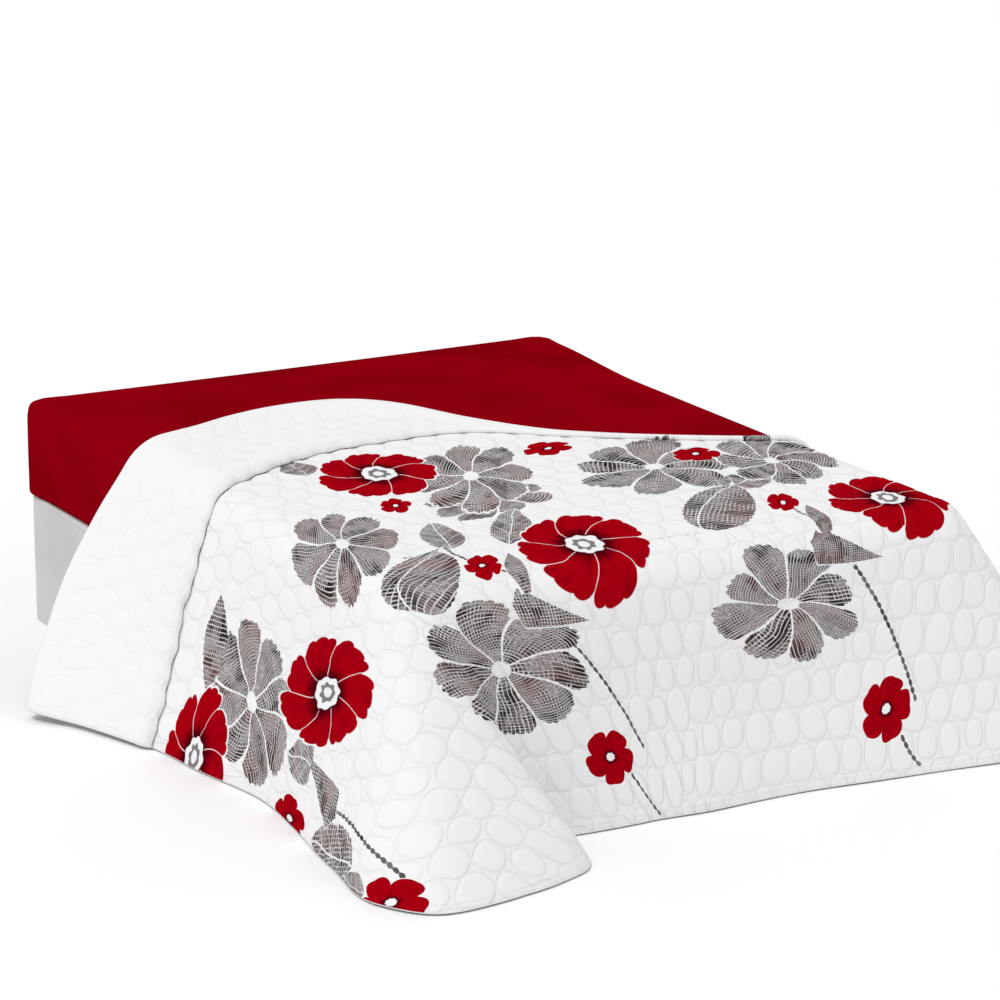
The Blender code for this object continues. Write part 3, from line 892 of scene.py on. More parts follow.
def new_group(name, inputs, outputs, fill):
    """Node group with named inputs and outputs. fill is called with its graph and the
    input wires, and gives the output wires in order."""
    tree = bpy.data.node_groups.new(name, "ShaderNodeTree")
    for label, kind in inputs.items():
        tree.interface.new_socket(label, in_out="INPUT", socket_type=KINDS[kind])
    for label, kind in outputs.items():
        tree.interface.new_socket(label, in_out="OUTPUT", socket_type=KINDS[kind])
    graph = Graph(tree)
    entry = tree.nodes.new("NodeGroupInput")
    leave = tree.nodes.new("NodeGroupOutput")
    given = [Wire(graph, entry.outputs[label]) for label in inputs]
    for socket, value in zip(leave.inputs, fill(graph, *given)):
        graph.feed(socket, value)
    return tree


FULL_TURN = 6.2832
SLUB_SCALE = 180.0
SLUB_SHIFT = 0.8
LINT_SCALE = 900.0
CLOUD_SCALE = 35.0


def fill_weave(g, place, pitch, fuzz):
    """Plain weave: a sine across times a sine along, shifted by slubs, with a share of
    lint. The second output is a slow cloudiness."""
    x, y, _ = g.split(place)
    slub = g.noise(place, SLUB_SCALE, 1.0) * SLUB_SHIFT
    warp = g.math("SINE", x / pitch * FULL_TURN + slub)
    weft = g.math("SINE", y / pitch * FULL_TURN + slub)
    threads = warp * weft * 0.5 + 0.5
    lint = g.noise(place, LINT_SCALE, 0.0)
    return threads * (1.0 - fuzz) + lint * fuzz, g.noise(place, CLOUD_SCALE, 1.0)


SEAM_WANDER = 0.0050
SEAM_WANDER_SCALE = 26.0
SEAM_WIDTH = 0.0042
SEAM_DEEP = 0.30
CROWN_SHOULDER = 0.0095
RIDGE_SHOULDER = 0.006
RIDGE_HEIGHT = 0.60
PUCKER_SCALE = 95.0
PUCKER_REACH = 0.024
PUCKER_HEIGHT = 0.45
HEM_LINE_HALF = 0.004
HEM_LINE_DEEP = 0.5


def fill_quilting(g, first, second, cloth):
    """Stitched lines round the pebbles, and the height of the padding between."""
    wobble = (g.noise(cloth, SEAM_WANDER_SCALE, 1.0) - 0.5) * SEAM_WANDER
    inwards = []
    for pebble in (first, second):
        x, y, size = g.split(pebble)
        total = g.math("ABSOLUTE", x) ** PEBBLE_POWER + g.math("ABSOLUTE", y) ** PEBBLE_POWER
        off = total ** (1 / PEBBLE_POWER)
        inwards.append((1.0 - off) * size + wobble)
    inwards = g.math("MAXIMUM", *inwards)
    from_line = g.math("ABSOLUTE", inwards)
    line = 1.0 - g.fade(0.0, SEAM_WIDTH, from_line)
    crown = g.fade(-0.001, CROWN_SHOULDER, inwards)
    ridge = g.fade(0.0, RIDGE_SHOULDER, -inwards) * RIDGE_HEIGHT
    pucker = g.noise(cloth, PUCKER_SCALE, 1.0) * (1.0 - g.fade(0.0, PUCKER_REACH, from_line))
    _, _, edge = g.split(cloth)
    hem = 1.0 - g.fade(0.0, HEM_LINE_HALF, g.math("ABSOLUTE", edge - HEM_STITCH))
    height = g.math("MAXIMUM", crown, ridge) - line * SEAM_DEEP
    height = height + pucker * PUCKER_HEIGHT - hem * HEM_LINE_DEEP
    # The second output marks the stitched lines and the hem stitch, which the materials darken with
    # painted shade
    return height, g.math("MAXIMUM", line, hem)


SEED_APART = 3.7
SEED_TURN = 1.7
WARP_SCALE = 1.6


def motif_kind(g, number):
    """Kind of a motif, from the number that holds its kind and its seed."""
    return g.math("FLOOR", number / KIND_STEP + 0.001)


def petal_polar(g, place, petals, swirl, warp):
    """Polar place in a flower: radius, place across the petal from -0.5 to 0.5, the
    petal's own random number, angle and seed, after a small uneven warp."""
    x, y, number = g.split(place)
    kind = motif_kind(g, number)
    seed = g.math("ROUND", number - kind * KIND_STEP)
    drift = g.noise(g.join(x, y, seed * SEED_APART), WARP_SCALE, 0.0, "Color")
    drift_x, drift_y, _ = g.split(drift)
    x = x + (drift_x - 0.5) * warp
    y = y + (drift_y - 0.5) * warp
    radius = g.math("SQRT", x * x + y * y)
    angle = g.math("ARCTAN2", y, x) + seed * SEED_TURN + radius * swirl
    turn = angle * petals / FULL_TURN
    petal = g.math("FLOORED_MODULO", g.math("FLOOR", turn), petals)
    across = turn - g.math("FLOOR", turn) - 0.5
    own = g.chance(petal, seed)
    return radius, across, own, angle, kind, seed


CRIMSON = (0.35, 0.0003, 0.0055, 1.0)
DEEP_CRIMSON = (0.22, 0.0, 0.0045, 1.0)
MAROON = (0.040, 0.0, 0.004, 1.0)
BLUSH = (0.80, 0.60, 0.60, 1.0)
CHALK = (0.84, 0.83, 0.84, 1.0)
SLATE = (0.20, 0.195, 0.195, 1.0)
INK = (0.022, 0.017, 0.017, 1.0)
ASH = (0.21, 0.195, 0.195, 1.0)
PALE = (0.68, 0.65, 0.65, 1.0)
RUSSET = (0.33, 0.17, 0.165, 1.0)
GRAIN_PALE = (0.50, 0.48, 0.48, 1.0)

RED_DESIGNS = {
    # value of a poppy, value of a blossom
    "petals": (7.0, 5.0),
    "swirl": (0.55, 0.35),
    "cleft": (0.14, 0.24),
    "scallops": (3.0, 2.0),
    "depth": (0.050, 0.030),
    "seam": (0.0075, -0.030),
    "heart": (0.280, 0.150),
    "shadow": (0.26, 0.16),
}
RED_HALO = 0.035
RED_WARP = 0.16
TIP = 0.985
TIP_SPREAD = 0.085
SEAM_SOFT = 0.007
EDGE_SOFT = 0.02
THROAT_RAGGED = 0.40
THROAT_DARK = 0.90
DEEP_PATCHES = (0.42, 0.75, 0.6)
HEART_RUFFLES = 8.0
HEART_RIM = 1.05
HEART_PALE = 0.98
RING_LOBES = 7.0
RING_OUT = 0.60
RING_IN = 0.32


def fill_red_flower(g, place):
    """Poppies of seven broad petals and blossoms of five: scalloped tips, pale seams
    between petals, a dark throat, and a pale scalloped heart with a grey ring. Radii are
    shares of the motif's own size; those of the ring are shares of the heart."""
    _, _, number = g.split(place)
    blossom = motif_kind(g, number)
    chosen = {name: g.pick(blossom, *values) for name, values in RED_DESIGNS.items()}
    petals, heart = chosen["petals"], chosen["heart"]
    radius, across, own, angle, _, _ = petal_polar(g, place, petals, chosen["swirl"], RED_WARP)
    aside = g.math("ABSOLUTE", across) * 2.0
    lobe_turn = (across + 0.5 + own * 0.05) * chosen["scallops"] * np.pi
    lobes = g.math("ABSOLUTE", g.math("SINE", lobe_turn))
    tip = TIP - own * TIP_SPREAD - aside**4.0 * chosen["cleft"]
    tip = tip - (1.0 - lobes**0.6) * chosen["depth"]
    border = (1.0 - aside) * radius * np.pi / petals
    seams = g.below(border, chosen["seam"], SEAM_SOFT) * g.fade(0.0, 0.05, radius - heart)

    streak = g.noise(g.join(across * 9.0, radius * 2.0, own * 20.0), 2.2, 2.0)
    from_heart = radius - heart + (streak - 0.5) * THROAT_RAGGED
    throat = g.fade(chosen["shadow"], 0.02, from_heart)
    shade = g.noise(g.join(across * 3.0, radius * 1.6, own * 11.0), 1.8, 2.0)
    low, high, most = DEEP_PATCHES
    colour = g.mix(g.fade(low, high, shade) * most, CRIMSON, DEEP_CRIMSON)
    colour = g.mix(throat * THROAT_DARK, colour, MAROON)
    colour = g.mix(seams, colour, BLUSH)

    uneven = (g.noise(place, 7.0, 1.0) - 0.5) * 0.20
    ruffle = g.math("COSINE", angle * HEART_RUFFLES) * 0.055 + uneven
    colour = g.mix(g.below(radius, heart * (HEART_RIM + ruffle), 0.025), colour, MAROON)
    colour = g.mix(g.below(radius, heart * (HEART_PALE + ruffle), EDGE_SOFT), colour, CHALK)
    poppy = 1.0 - blossom
    ring = g.math("COSINE", angle * RING_LOBES) * 0.06 + RING_OUT + ruffle * 0.5
    colour = g.mix(g.below(radius, ring * heart, EDGE_SOFT) * poppy, colour, SLATE)
    colour = g.mix(g.below(radius, heart * RING_IN, EDGE_SOFT) * poppy, colour, CHALK)
    return colour, g.below(radius, tip, 0.016), g.below(radius, tip + RED_HALO, EDGE_SOFT)


HATCH_ROW = 0.0088
HATCH_DAB = 0.0072
HATCH_DRIFT = 0.010
HATCH_DRIFT_SCALE = 20.0
HATCH_LEAN = 0.9
HATCH_FINER = (0.80, 0.55)
MARK_HALF = 0.34
MARK_SOFT = 0.14
ROW_SPREAD = 0.12
DAB_SPREAD = 0.16
STRIPE_ADDS = 0.30
GRAIN_SCALE = 230.0
GRAIN_SHARE = 0.70
RUSSET_SCALE = 9.0
RUSSET_SHARE = 0.24


def fill_hatch(g, grain):
    """Brush marks: rows of short dark dabs with thin pale gaps both ways. Patches of it
    are plain stripes, and others a close grey grain. The third number is a seed, whose
    fraction is the petal's own."""
    x, y, seed = g.split(grain)
    drift_x, drift_y, patch = g.split(g.noise(grain, HATCH_DRIFT_SCALE, 2.0, "Color"))
    petal, motif = g.math("FLOOR", seed * 7.0), g.math("FLOOR", seed)
    turned = g.fade(0.49, 0.51, g.chance(petal))
    lean = (g.chance(petal, 3.0) - 0.5) * HATCH_LEAN
    finer = g.chance(petal, 5.0) * HATCH_FINER[1] + HATCH_FINER[0]
    x, y = g.pick(turned, x, y), g.pick(turned, y, x)
    across = (x + y * lean + (drift_x - 0.5) * HATCH_DRIFT) * finer / HATCH_ROW
    along = (y - x * lean + (drift_y - 0.5) * HATCH_DRIFT) * finer / HATCH_DAB
    row, dab = g.math("FLOOR", across), g.math("FLOOR", along)
    weight, run = g.chance(row, dab, motif), g.chance(row, motif)
    stripes = g.fade(0.56, 0.64, patch)
    row_half = MARK_HALF + run * ROW_SPREAD
    rows = g.below(g.math("ABSOLUTE", across - row - 0.5), row_half, MARK_SOFT)
    dab_half = MARK_HALF + weight * DAB_SPREAD + stripes * STRIPE_ADDS
    dabs = g.below(g.math("ABSOLUTE", along - dab - 0.5), dab_half, MARK_SOFT)
    ink = g.mix(weight * g.fade(0.70, 0.40, patch), INK, ASH)
    tone = g.mix(rows * dabs, PALE, ink)
    close = g.mix(g.fade(0.45, 0.55, g.noise(grain, GRAIN_SCALE, 1.0)), ASH, GRAIN_PALE)
    tone = g.mix(g.fade(0.45, 0.39, patch) * GRAIN_SHARE, tone, close)
    warm = g.fade(0.50, 0.66, g.noise(grain, RUSSET_SCALE, 1.0))
    return (g.mix(warm * RUSSET_SHARE, tone, RUSSET),)


FAN_PETALS = 8.0
FAN_REACH = 0.19
OTHER_REACH = (0.12, 0.06)
GREY_HALO = 0.06
FAN_SWIRL = 0.30
FAN_WARP = 0.22
FAN_SPREAD = 0.17
FAN_CLEFT = 0.22
FAN_EYE = (0.105, 0.125)
TIP_BEADS = 27.0
TIP_BEAD_DEEP = 0.030
SIDE_BEADS = 42.0
SIDE_BEAD_DEEP = 0.006
PETAL_GAP = (0.006, 0.016)
RAGGED = 0.05
RAGGED_SCALE = 80.0
LEAF_BEND = 0.5
LEAF_NOTCHES = 21.0
LEAF_NOTCH_DEEP = 0.05
LEAF_VEINS = 7.0


def fill_brushed(g, place, cloth):
    """Grey motifs: fan flowers, veined leaves, closed buds, pointed bracts and slim
    spears, with a beaded edge. Gives the inked part, the bare ground round it that
    hides what lies under, and where a point is in the motif's brush marks. A leaf's
    half width is a power of 1 - x squared, less its notches."""
    polar = petal_polar(g, place, FAN_PETALS, FAN_SWIRL, FAN_WARP)
    radius, across, own, angle, kind, seed = polar
    ragged = (g.noise(cloth, RAGGED_SCALE, 1.0) - 0.5) * RAGGED
    aside = g.math("ABSOLUTE", across) * 2.0
    beads = g.math("ABSOLUTE", g.math("SINE", angle * TIP_BEADS))
    tip = TIP - own * FAN_SPREAD - aside**3.0 * FAN_CLEFT - (1.0 - beads) * TIP_BEAD_DEEP - ragged
    border = (1.0 - aside) * radius * (np.pi / FAN_PETALS) + ragged * 0.12
    side_beads = g.math("ABSOLUTE", g.math("SINE", radius * SIDE_BEADS)) * SIDE_BEAD_DEEP
    gap = radius * PETAL_GAP[1] + PETAL_GAP[0]
    fan = g.below(radius, tip, EDGE_SOFT) * g.fade(0.0, 0.008, border + side_beads - gap)
    fan = fan * g.fade(*FAN_EYE, radius + ragged)

    x, y, _ = g.split(place)
    bend = g.noise(g.join(x, seed * 5.0), 1.1, 1.0) - 0.5
    beside = g.math("ABSOLUTE", y + bend * LEAF_BEND)
    inside = g.math("MAXIMUM", 1.0 - x * x, 0.0)
    rounds = g.math("ABSOLUTE", g.math("SINE", x * LEAF_NOTCHES))
    notches = (1.0 - rounds) * LEAF_NOTCH_DEEP + ragged
    leaf_edge = inside**0.80 * (0.95 - 0.20 * x) - notches
    side_vein = g.math("ABSOLUTE", g.math("SINE", (x - beside * 0.55) * LEAF_VEINS))
    leaf = g.below(beside, leaf_edge, 0.04)
    leaf = leaf * g.fade(0.012, 0.040, beside) * g.fade(0.03, 0.10, side_vein)
    spear_edge = inside**1.1 * 0.95 - notches
    spear = g.below(beside, spear_edge, 0.05)

    aside_y = g.math("ABSOLUTE", y)
    bud_edge = g.math("SQRT", inside) * (0.86 - 0.16 * x) - notches * 0.6
    fold = g.math("ABSOLUTE", y + 0.10 * x - bud_edge * 0.45)
    bud = g.below(aside_y, bud_edge, 0.03) * g.fade(0.010, 0.030, fold)

    beside_bract = g.math("ABSOLUTE", y - 0.12 * x * x)
    bract_edge = (1.0 - x) * 0.48 * g.fade(-1.0, -0.72, x) - notches * 0.5
    bract = g.below(beside_bract, bract_edge, 0.04)

    cover, ground = fan, g.below(radius, tip + GREY_HALO * 0.6, 0.02)
    for number, (shape, off, edge) in enumerate((
        (leaf, beside, leaf_edge),
        (bud, aside_y, bud_edge),
        (bract, beside_bract, bract_edge),
        (spear, beside, spear_edge),
    ), start=1):
        this = g.math("COMPARE", kind, float(number), 0.5)
        cover = g.pick(this, cover, shape)
        ground = g.pick(this, ground, g.below(off, edge + GREY_HALO, 0.03))
    on_fan = g.math("COMPARE", kind, 0.0, 0.5)
    petal_arc = FAN_REACH * 2 * np.pi / FAN_PETALS
    mark_x = g.pick(on_fan, x * OTHER_REACH[0], radius * FAN_REACH)
    mark_y = g.pick(on_fan, y * OTHER_REACH[1], across * radius * petal_arc)
    return cover, ground, g.join(mark_x, mark_y, seed + own * on_fan)


BEAD_PITCH = 0.0195
STEM_THIN = 0.0008
BEAD_HALF = 0.0044
STEM_WANDER = 0.004


def fill_stem(g, place, cloth):
    """Beaded stem: separate oval beads on a thin line, cut off at both ends."""
    along, across, share = g.split(place)
    bead = g.math("ABSOLUTE", g.math("SINE", along / BEAD_PITCH * np.pi)) ** 0.7
    wander = (g.noise(cloth, 60.0, 1.0) - 0.5) * STEM_WANDER
    width = STEM_THIN + bead * BEAD_HALF
    cover = g.below(g.math("ABSOLUTE", across + wander), width, 0.0014)
    cover = cover * g.fade(0.0, 0.02, share) * g.fade(1.0, 0.98, share)
    tone = g.mix(g.chance(g.math("FLOOR", along / BEAD_PITCH)), ASH, INK)
    return tone, cover


def make_groups():
    """Node groups that the materials share."""
    place, cloth = {"Place": "vector"}, {"Cloth": "vector"}
    paint = {"Colour": "colour", "Cover": "number"}
    return {
        "weave": new_group(
            "plain weave",
            {"Place": "vector", "Pitch": "number", "Fuzz": "number"},
            {"Height": "number", "Cloudiness": "number"},
            fill_weave,
        ),
        "quilting": new_group(
            "pebble quilting",
            {"First": "vector", "Second": "vector", "Cloth": "vector"},
            {"Height": "number", "Stitch": "number"},
            fill_quilting,
        ),
        "brushed": new_group(
            "brushed motif",
            place | cloth,
            {"Cover": "number", "Ground": "number", "Grain": "vector"},
            fill_brushed,
        ),
        "hatch": new_group("brush hatch", {"Grain": "vector"}, {"Tone": "colour"}, fill_hatch),
        "stem": new_group("beaded stem", place | cloth, paint, fill_stem),
        "red": new_group("red flower", place, paint | {"Ground": "number"}, fill_red_flower),
    }


def new_material(name):
    material = bpy.data.materials.new(name)
    material.use_nodes = True
    shader = material.node_tree.nodes["Principled BSDF"]
    return material, Graph(material.node_tree), shader


COTTON_WHITE = (0.85, 0.842, 0.848, 1.0)
# Darker cotton: the colour of the painted shade in the stitched lines, and the tone of darker
# threads and cloudiness
COTTON_SHADE = (0.72, 0.71, 0.72, 1.0)
COTTON_BACK = (0.84, 0.832, 0.838, 1.0)
COTTON_PITCH = 0.0011
COTTON_FUZZ = 0.45
COTTON_ROUGHNESS = (0.84, 0.12)
# Share of painted shade along the stitched lines and the hem stitch, on bare cloth
STITCH_PAINTED_SHADE = 0.16
CLOUD_TINT = 0.08
THREAD_TINT = 0.06
QUILTING_BUMP = 0.0018
BUMP_STRENGTH = 0.9
PRINT_SOFTENING = 0.60
PLAIN_SOFTENING = 0.75


def quilted_surface(g, shader, colour, printed):
    """Feeds cotton's colour, roughness and the quilting's bump to a shader, and darkens
    the stitched lines of bare cloth with painted shade. The ink lies over the stitching,
    so the relief is weaker where the cloth is printed."""
    cloth = g.attribute("cloth")
    bare = 1.0 - printed
    weave = g.group(GROUPS["weave"], place=cloth, pitch=COTTON_PITCH, fuzz=COTTON_FUZZ)
    quilting = g.group(
        GROUPS["quilting"],
        first=g.attribute("pebble_first"),
        second=g.attribute("pebble_second"),
        cloth=cloth,
    )
    # Painted shade: the stitched lines and the hem stitch are darkened towards the darker cotton
    soft = g.mix(quilting["Stitch"] * STITCH_PAINTED_SHADE * bare, colour, COTTON_SHADE)
    threads = weave["Cloudiness"] * CLOUD_TINT + weave["Height"] * THREAD_TINT
    soft = g.mix(threads * bare, soft, COTTON_SHADE)
    g.feed(shader.inputs["Base Color"], soft)
    smooth, rougher = COTTON_ROUGHNESS
    g.feed(shader.inputs["Roughness"], smooth + weave["Height"] * rougher)
    height = quilting["Height"] * QUILTING_BUMP
    strength = BUMP_STRENGTH * (1.0 - PRINT_SOFTENING * printed)
    bump = g.node("ShaderNodeBump", {"Height": height, "Strength": strength, "Distance": 1.0})
    g.feed(shader.inputs["Normal"], bump)
    shader.inputs["Specular IOR Level"].default_value = 0.0


def white_cotton():
    """The front between the motifs."""
    material, g, shader = new_material("white_cotton")
    quilted_surface(g, shader, COTTON_WHITE, 0.0)
    return material


def printed_cotton():
    """Print from below upwards: grey motifs in two layers, stems, then red flowers. A
    layer's bare ground hides the layers under it, as a thin white outline."""
    material, g, shader = new_material("printed_cotton")
    cloth = g.attribute("cloth")
    under = g.group(GROUPS["brushed"], place=g.attribute("brushed_under"), cloth=cloth)
    over = g.group(GROUPS["brushed"], place=g.attribute("brushed_over"), cloth=cloth)
    stem = g.group(GROUPS["stem"], place=g.attribute("stems"), cloth=cloth)
    red = g.group(GROUPS["red"], place=g.attribute("red_flowers"))
    on_over = g.math("GREATER_THAN", over["Ground"], 0.5)
    hatch = g.group(GROUPS["hatch"], grain=g.blend(on_over, under["Grain"], over["Grain"]))
    inked = g.pick(over["Ground"], under["Cover"], over["Cover"])
    inked = inked * (1.0 - red["Ground"])
    beaded = stem["Cover"] * (1.0 - red["Ground"]) * (1.0 - over["Ground"])
    colour = g.mix(beaded, COTTON_WHITE, stem["Colour"])
    colour = g.mix(inked, colour, hatch["Tone"])
    colour = g.mix(red["Cover"], colour, red["Colour"])
    printed = g.math("MAXIMUM", g.math("MAXIMUM", inked, beaded), red["Cover"])
    quilted_surface(g, shader, colour, printed)
    return material


def plain_cotton():
    """The back of the cloth, with a softer relief."""
    material, g, shader = new_material("plain_cotton")
    tint = g.mix(g.noise(g.attribute("cloth"), 7.0, 2.0), COTTON_WHITE, COTTON_BACK)
    quilted_surface(g, shader, tint, PLAIN_SOFTENING)
    return material


WOVEN_FUZZ = 0.35
WOVEN_CLOUD_SCALE = 3.2
THREAD_SHADE = 0.16
CREASE_SCALE = 22.0
CREASE_HEIGHT = 0.0009


def woven_surface(name, colour, shade, pitch, roughness, sheen, bump_height):
    """Plain woven upholstery or sheeting on Object coordinates, drawn on one flat map
    that slants across all sides, so that no side shows streaks."""
    material, g, shader = new_material(name)
    place = g.node("ShaderNodeTexCoord", {}, "Object")
    x, y, z = g.split(place)
    flat = g.join(x + y * 0.6, z + y * 0.8)
    weave = g.group(GROUPS["weave"], place=flat, pitch=pitch, fuzz=WOVEN_FUZZ)
    cloudy = g.noise(place, WOVEN_CLOUD_SCALE, 4.0)
    tone = g.mix(g.fade(0.30, 0.72, cloudy), colour, shade)
    tone = g.mix(weave["Height"] * THREAD_SHADE, tone, shade)
    g.feed(shader.inputs["Base Color"], tone)
    g.feed(shader.inputs["Roughness"], roughness + weave["Cloudiness"] * 0.10)
    creases = g.noise(place, CREASE_SCALE, 3.0) * CREASE_HEIGHT
    height = weave["Height"] * bump_height + creases
    bump = g.node("ShaderNodeBump", {"Height": height, "Strength": 0.8, "Distance": 1.0})
    g.feed(shader.inputs["Normal"], bump)
    shader.inputs["Sheen Weight"].default_value = sheen
    shader.inputs["Sheen Roughness"].default_value = 0.4
    shader.inputs["Specular IOR Level"].default_value = 0.0
    return material


def rounded_grid(half_x, half_y, corner, columns, rows):
    """Grid over a rounded rectangle: its corner squares are drawn in to quarter discs."""
    x, y = np.meshgrid(np.linspace(-half_x, half_x, columns), np.linspace(-half_y, half_y, rows))
    past_x = np.abs(x) - (half_x - corner)
    past_y = np.abs(y) - (half_y - corner)
    inside = (past_x > 0) & (past_y > 0)
    pull = np.maximum(past_x, past_y) / np.maximum(np.hypot(past_x, past_y), TINY)
    x = np.where(inside, np.sign(x) * (half_x - corner + past_x * pull), x)
    y = np.where(inside, np.sign(y) * (half_y - corner + past_y * pull), y)
    return x, y


def rounded_outwards(x, y, half_x, half_y, corner):
    """Outward direction at border points of the rounded rectangle."""
    away_x = np.clip(np.abs(x) - (half_x - corner), 0.0, None) * np.sign(x)
    away_y = np.clip(np.abs(y) - (half_y - corner), 0.0, None) * np.sign(y)
    return unit(np.stack([away_x, away_y], -1))


def boxed_form(name, x, y, top, outwards, rings):
    """Closed form: a top grid, rings of (outward distance, height) round its border,
    and a flat underside. The rings run downwards. The head end is then stretched."""
    rows, columns = x.shape
    row, column = border_loop(rows, columns)
    ring = row * columns + column
    points = [np.stack([x, y, top], -1).reshape(-1, 3)]
    loops = [ring]
    edge = np.stack([x[row, column], y[row, column]], -1)
    for out, height in rings:
        loops.append(sum(len(part) for part in points) + np.arange(len(ring)))
        points.append(np.column_stack([edge + outwards * out[:, None], height]))
    quads = [grid_quads(rows, columns)]
    quads += [strip_quads(lower, upper) for upper, lower in zip(loops, loops[1:])]
    points = np.concatenate(points)
    points[:, 1] = stretch_head(points[:, 1])
    return make_mesh(name, points, np.concatenate(quads), [loops[-1][::-1]])


SHEET_RED = (0.27, 0.0, 0.0055, 1.0)
SHEET_DEEP_RED = (0.20, 0.0, 0.0040, 1.0)
SHEET_PITCH = 0.0009
SHEET_ROUGHNESS = 0.70
SHEET_BUMP = 0.00008
SHEET_SWELL = 0.0010
SHEET_SLACK = 0.0012
MATTRESS_COLUMNS = 150
MATTRESS_ROWS = 190
SIDE_RINGS = 16

# Pulls in the fitted sheet: broad soft ridges where it was drawn tight.
SHEET_PULLS = (
    # x, y, length, width, turn, height
    (-0.50, 0.66, 0.60, 0.050, 30, 0.0030),
    (-0.16, 0.80, 0.50, 0.060, 12, 0.0022),
    (0.22, 0.60, 0.60, 0.050, -20, 0.0026),
    (0.46, 0.78, 0.40, 0.040, -40, 0.0026),
    (0.56, 0.28, 0.44, 0.045, -60, 0.0024),
    (0.34, 0.14, 0.40, 0.045, -44, 0.0020),
    (-0.60, 0.50, 0.30, 0.035, 66, 0.0018),
)


def sheet_wrinkles(x, y):
    """Height of the sheet's wrinkles where the quilt leaves it bare: each pull is a
    bell across times a bell along, on a gently winding line."""
    bare = smoothstep(0.05, 0.14, y - curve_through(HEAD_END, 1, x))
    height = SHEET_SWELL * (0.5 + 0.5 * swell(x, y, 7, 0.20, 0.50, seed=11))
    for at_x, at_y, length, width, turn, rise in SHEET_PULLS:
        cos, sin = np.cos(np.radians(turn)), np.sin(np.radians(turn))
        along = (x - at_x) * cos + (y - at_y) * sin
        across = (y - at_y) * cos - (x - at_x) * sin + 0.02 * np.sin(along * 9.0)
        height = height + rise * np.exp(-((across / width) ** 2) - (along / (0.5 * length)) ** 2)
    return bare * height


def make_mattress():
    """Mattress in its fitted sheet: crowned top, shoulder that is round at the foot and
    squarer at the head, upright side with slack folds, tucked lower edge."""
    x, y = rounded_grid(LINE_X, LINE_Y, SHOULDER_CORNER, MATTRESS_COLUMNS, MATTRESS_ROWS)
    row, column = border_loop(*x.shape)
    edge_x, edge_y = x[row, column], y[row, column]
    outwards = rounded_outwards(edge_x, edge_y, LINE_X, LINE_Y, SHOULDER_CORNER)
    tilt = down_slope(edge_x, edge_y, outwards[:, 0], outwards[:, 1])
    line_top = bed_top(edge_x, edge_y)
    side = SHOULDER * (1.0 - np.sin(tilt))
    bottom = BASE_HEIGHT + TOUCH_GAP
    square = smoothstep(HEAD_STARTS, HEAD_FULL, edge_y)
    corner = 1.0 + HEAD_SQUARE / side * square * (2 * outwards[:, 0] * outwards[:, 1]) ** 2
    bare = smoothstep(0.05, 0.16, edge_y - curve_through(HEAD_END, 1, edge_x))
    length = np.where(np.abs(outwards[:, 0]) > 0.7, edge_y, edge_x)

    def folds(height):
        return 0.5 + 0.5 * swell(length, height * 0.6, 7, 0.10, 0.32, seed=9)

    rings = []
    for share in np.linspace(0.0, 1.0, SIDE_RINGS + 1)[1:]:
        turn = tilt + share * (np.pi / 2 - tilt)
        quarter = share * np.pi / 2
        round_gone = SHOULDER * (np.sin(turn) - np.sin(tilt))
        round_fall = SHOULDER * (np.cos(tilt) - np.cos(turn))
        square_gone = side * np.sin(quarter) ** HEAD_CRISP
        square_fall = SHOULDER * np.cos(tilt) * (1.0 - max(np.cos(quarter), 0.0) ** HEAD_CRISP)
        drop = line_top - round_fall - square * (square_fall - round_fall)
        lift = bare * SHEET_SLACK * (0.5 + 0.5 * swell(length, drop, 6, 0.10, 0.30, seed=5))
        gone = round_gone + square * (square_gone - round_gone)
        rings.append((gone * corner + lift * share, drop))
    start, end = rings[-1][1], bottom + MATTRESS_FOOT_EDGE
    for share in np.linspace(0.0, 1.0, SIDE_RINGS + 1)[1:]:
        height = start + share * (end - start)
        lift = bare * SHEET_SLACK * (1.0 + share) * folds(height)
        rings.append((side * corner + lift, height))
    for turn in np.linspace(np.pi / 2, 0.0, 7)[1:]:
        lift = bare * SHEET_SLACK * 2 * np.sin(turn) * folds(end)
        gone = (side - MATTRESS_FOOT_EDGE * (1.0 - np.sin(turn))) * corner + lift
        rings.append((gone, bottom + MATTRESS_FOOT_EDGE * (1.0 - np.cos(turn)) + 0 * gone))
    top = bed_top(x, y) + sheet_wrinkles(x, y)
    mattress = boxed_form("mattress_cover", x, y, top, outwards, rings)
    mattress.data.materials.append(woven_surface(
        "crimson_sheet", SHEET_RED, SHEET_DEEP_RED, SHEET_PITCH, SHEET_ROUGHNESS, 0.0, SHEET_BUMP
    ))
    return mattress


BASE_LINEN = (0.62, 0.605, 0.60, 1.0)
BASE_LINEN_SHADE = (0.55, 0.538, 0.534, 1.0)
BASE_PITCH = 0.0020
BASE_ROUGHNESS = 0.85
BASE_SHEEN = 0.02
BASE_BUMP = 0.00020
BASE_EDGE = 0.008
WELT_BELOW = 0.010
WELT_DEEP = 0.0016
HEM_ABOVE = 0.007
HEM_DEEP = 0.0012
LINE_HALF = 0.0025
BASE_SLACK = 0.0012


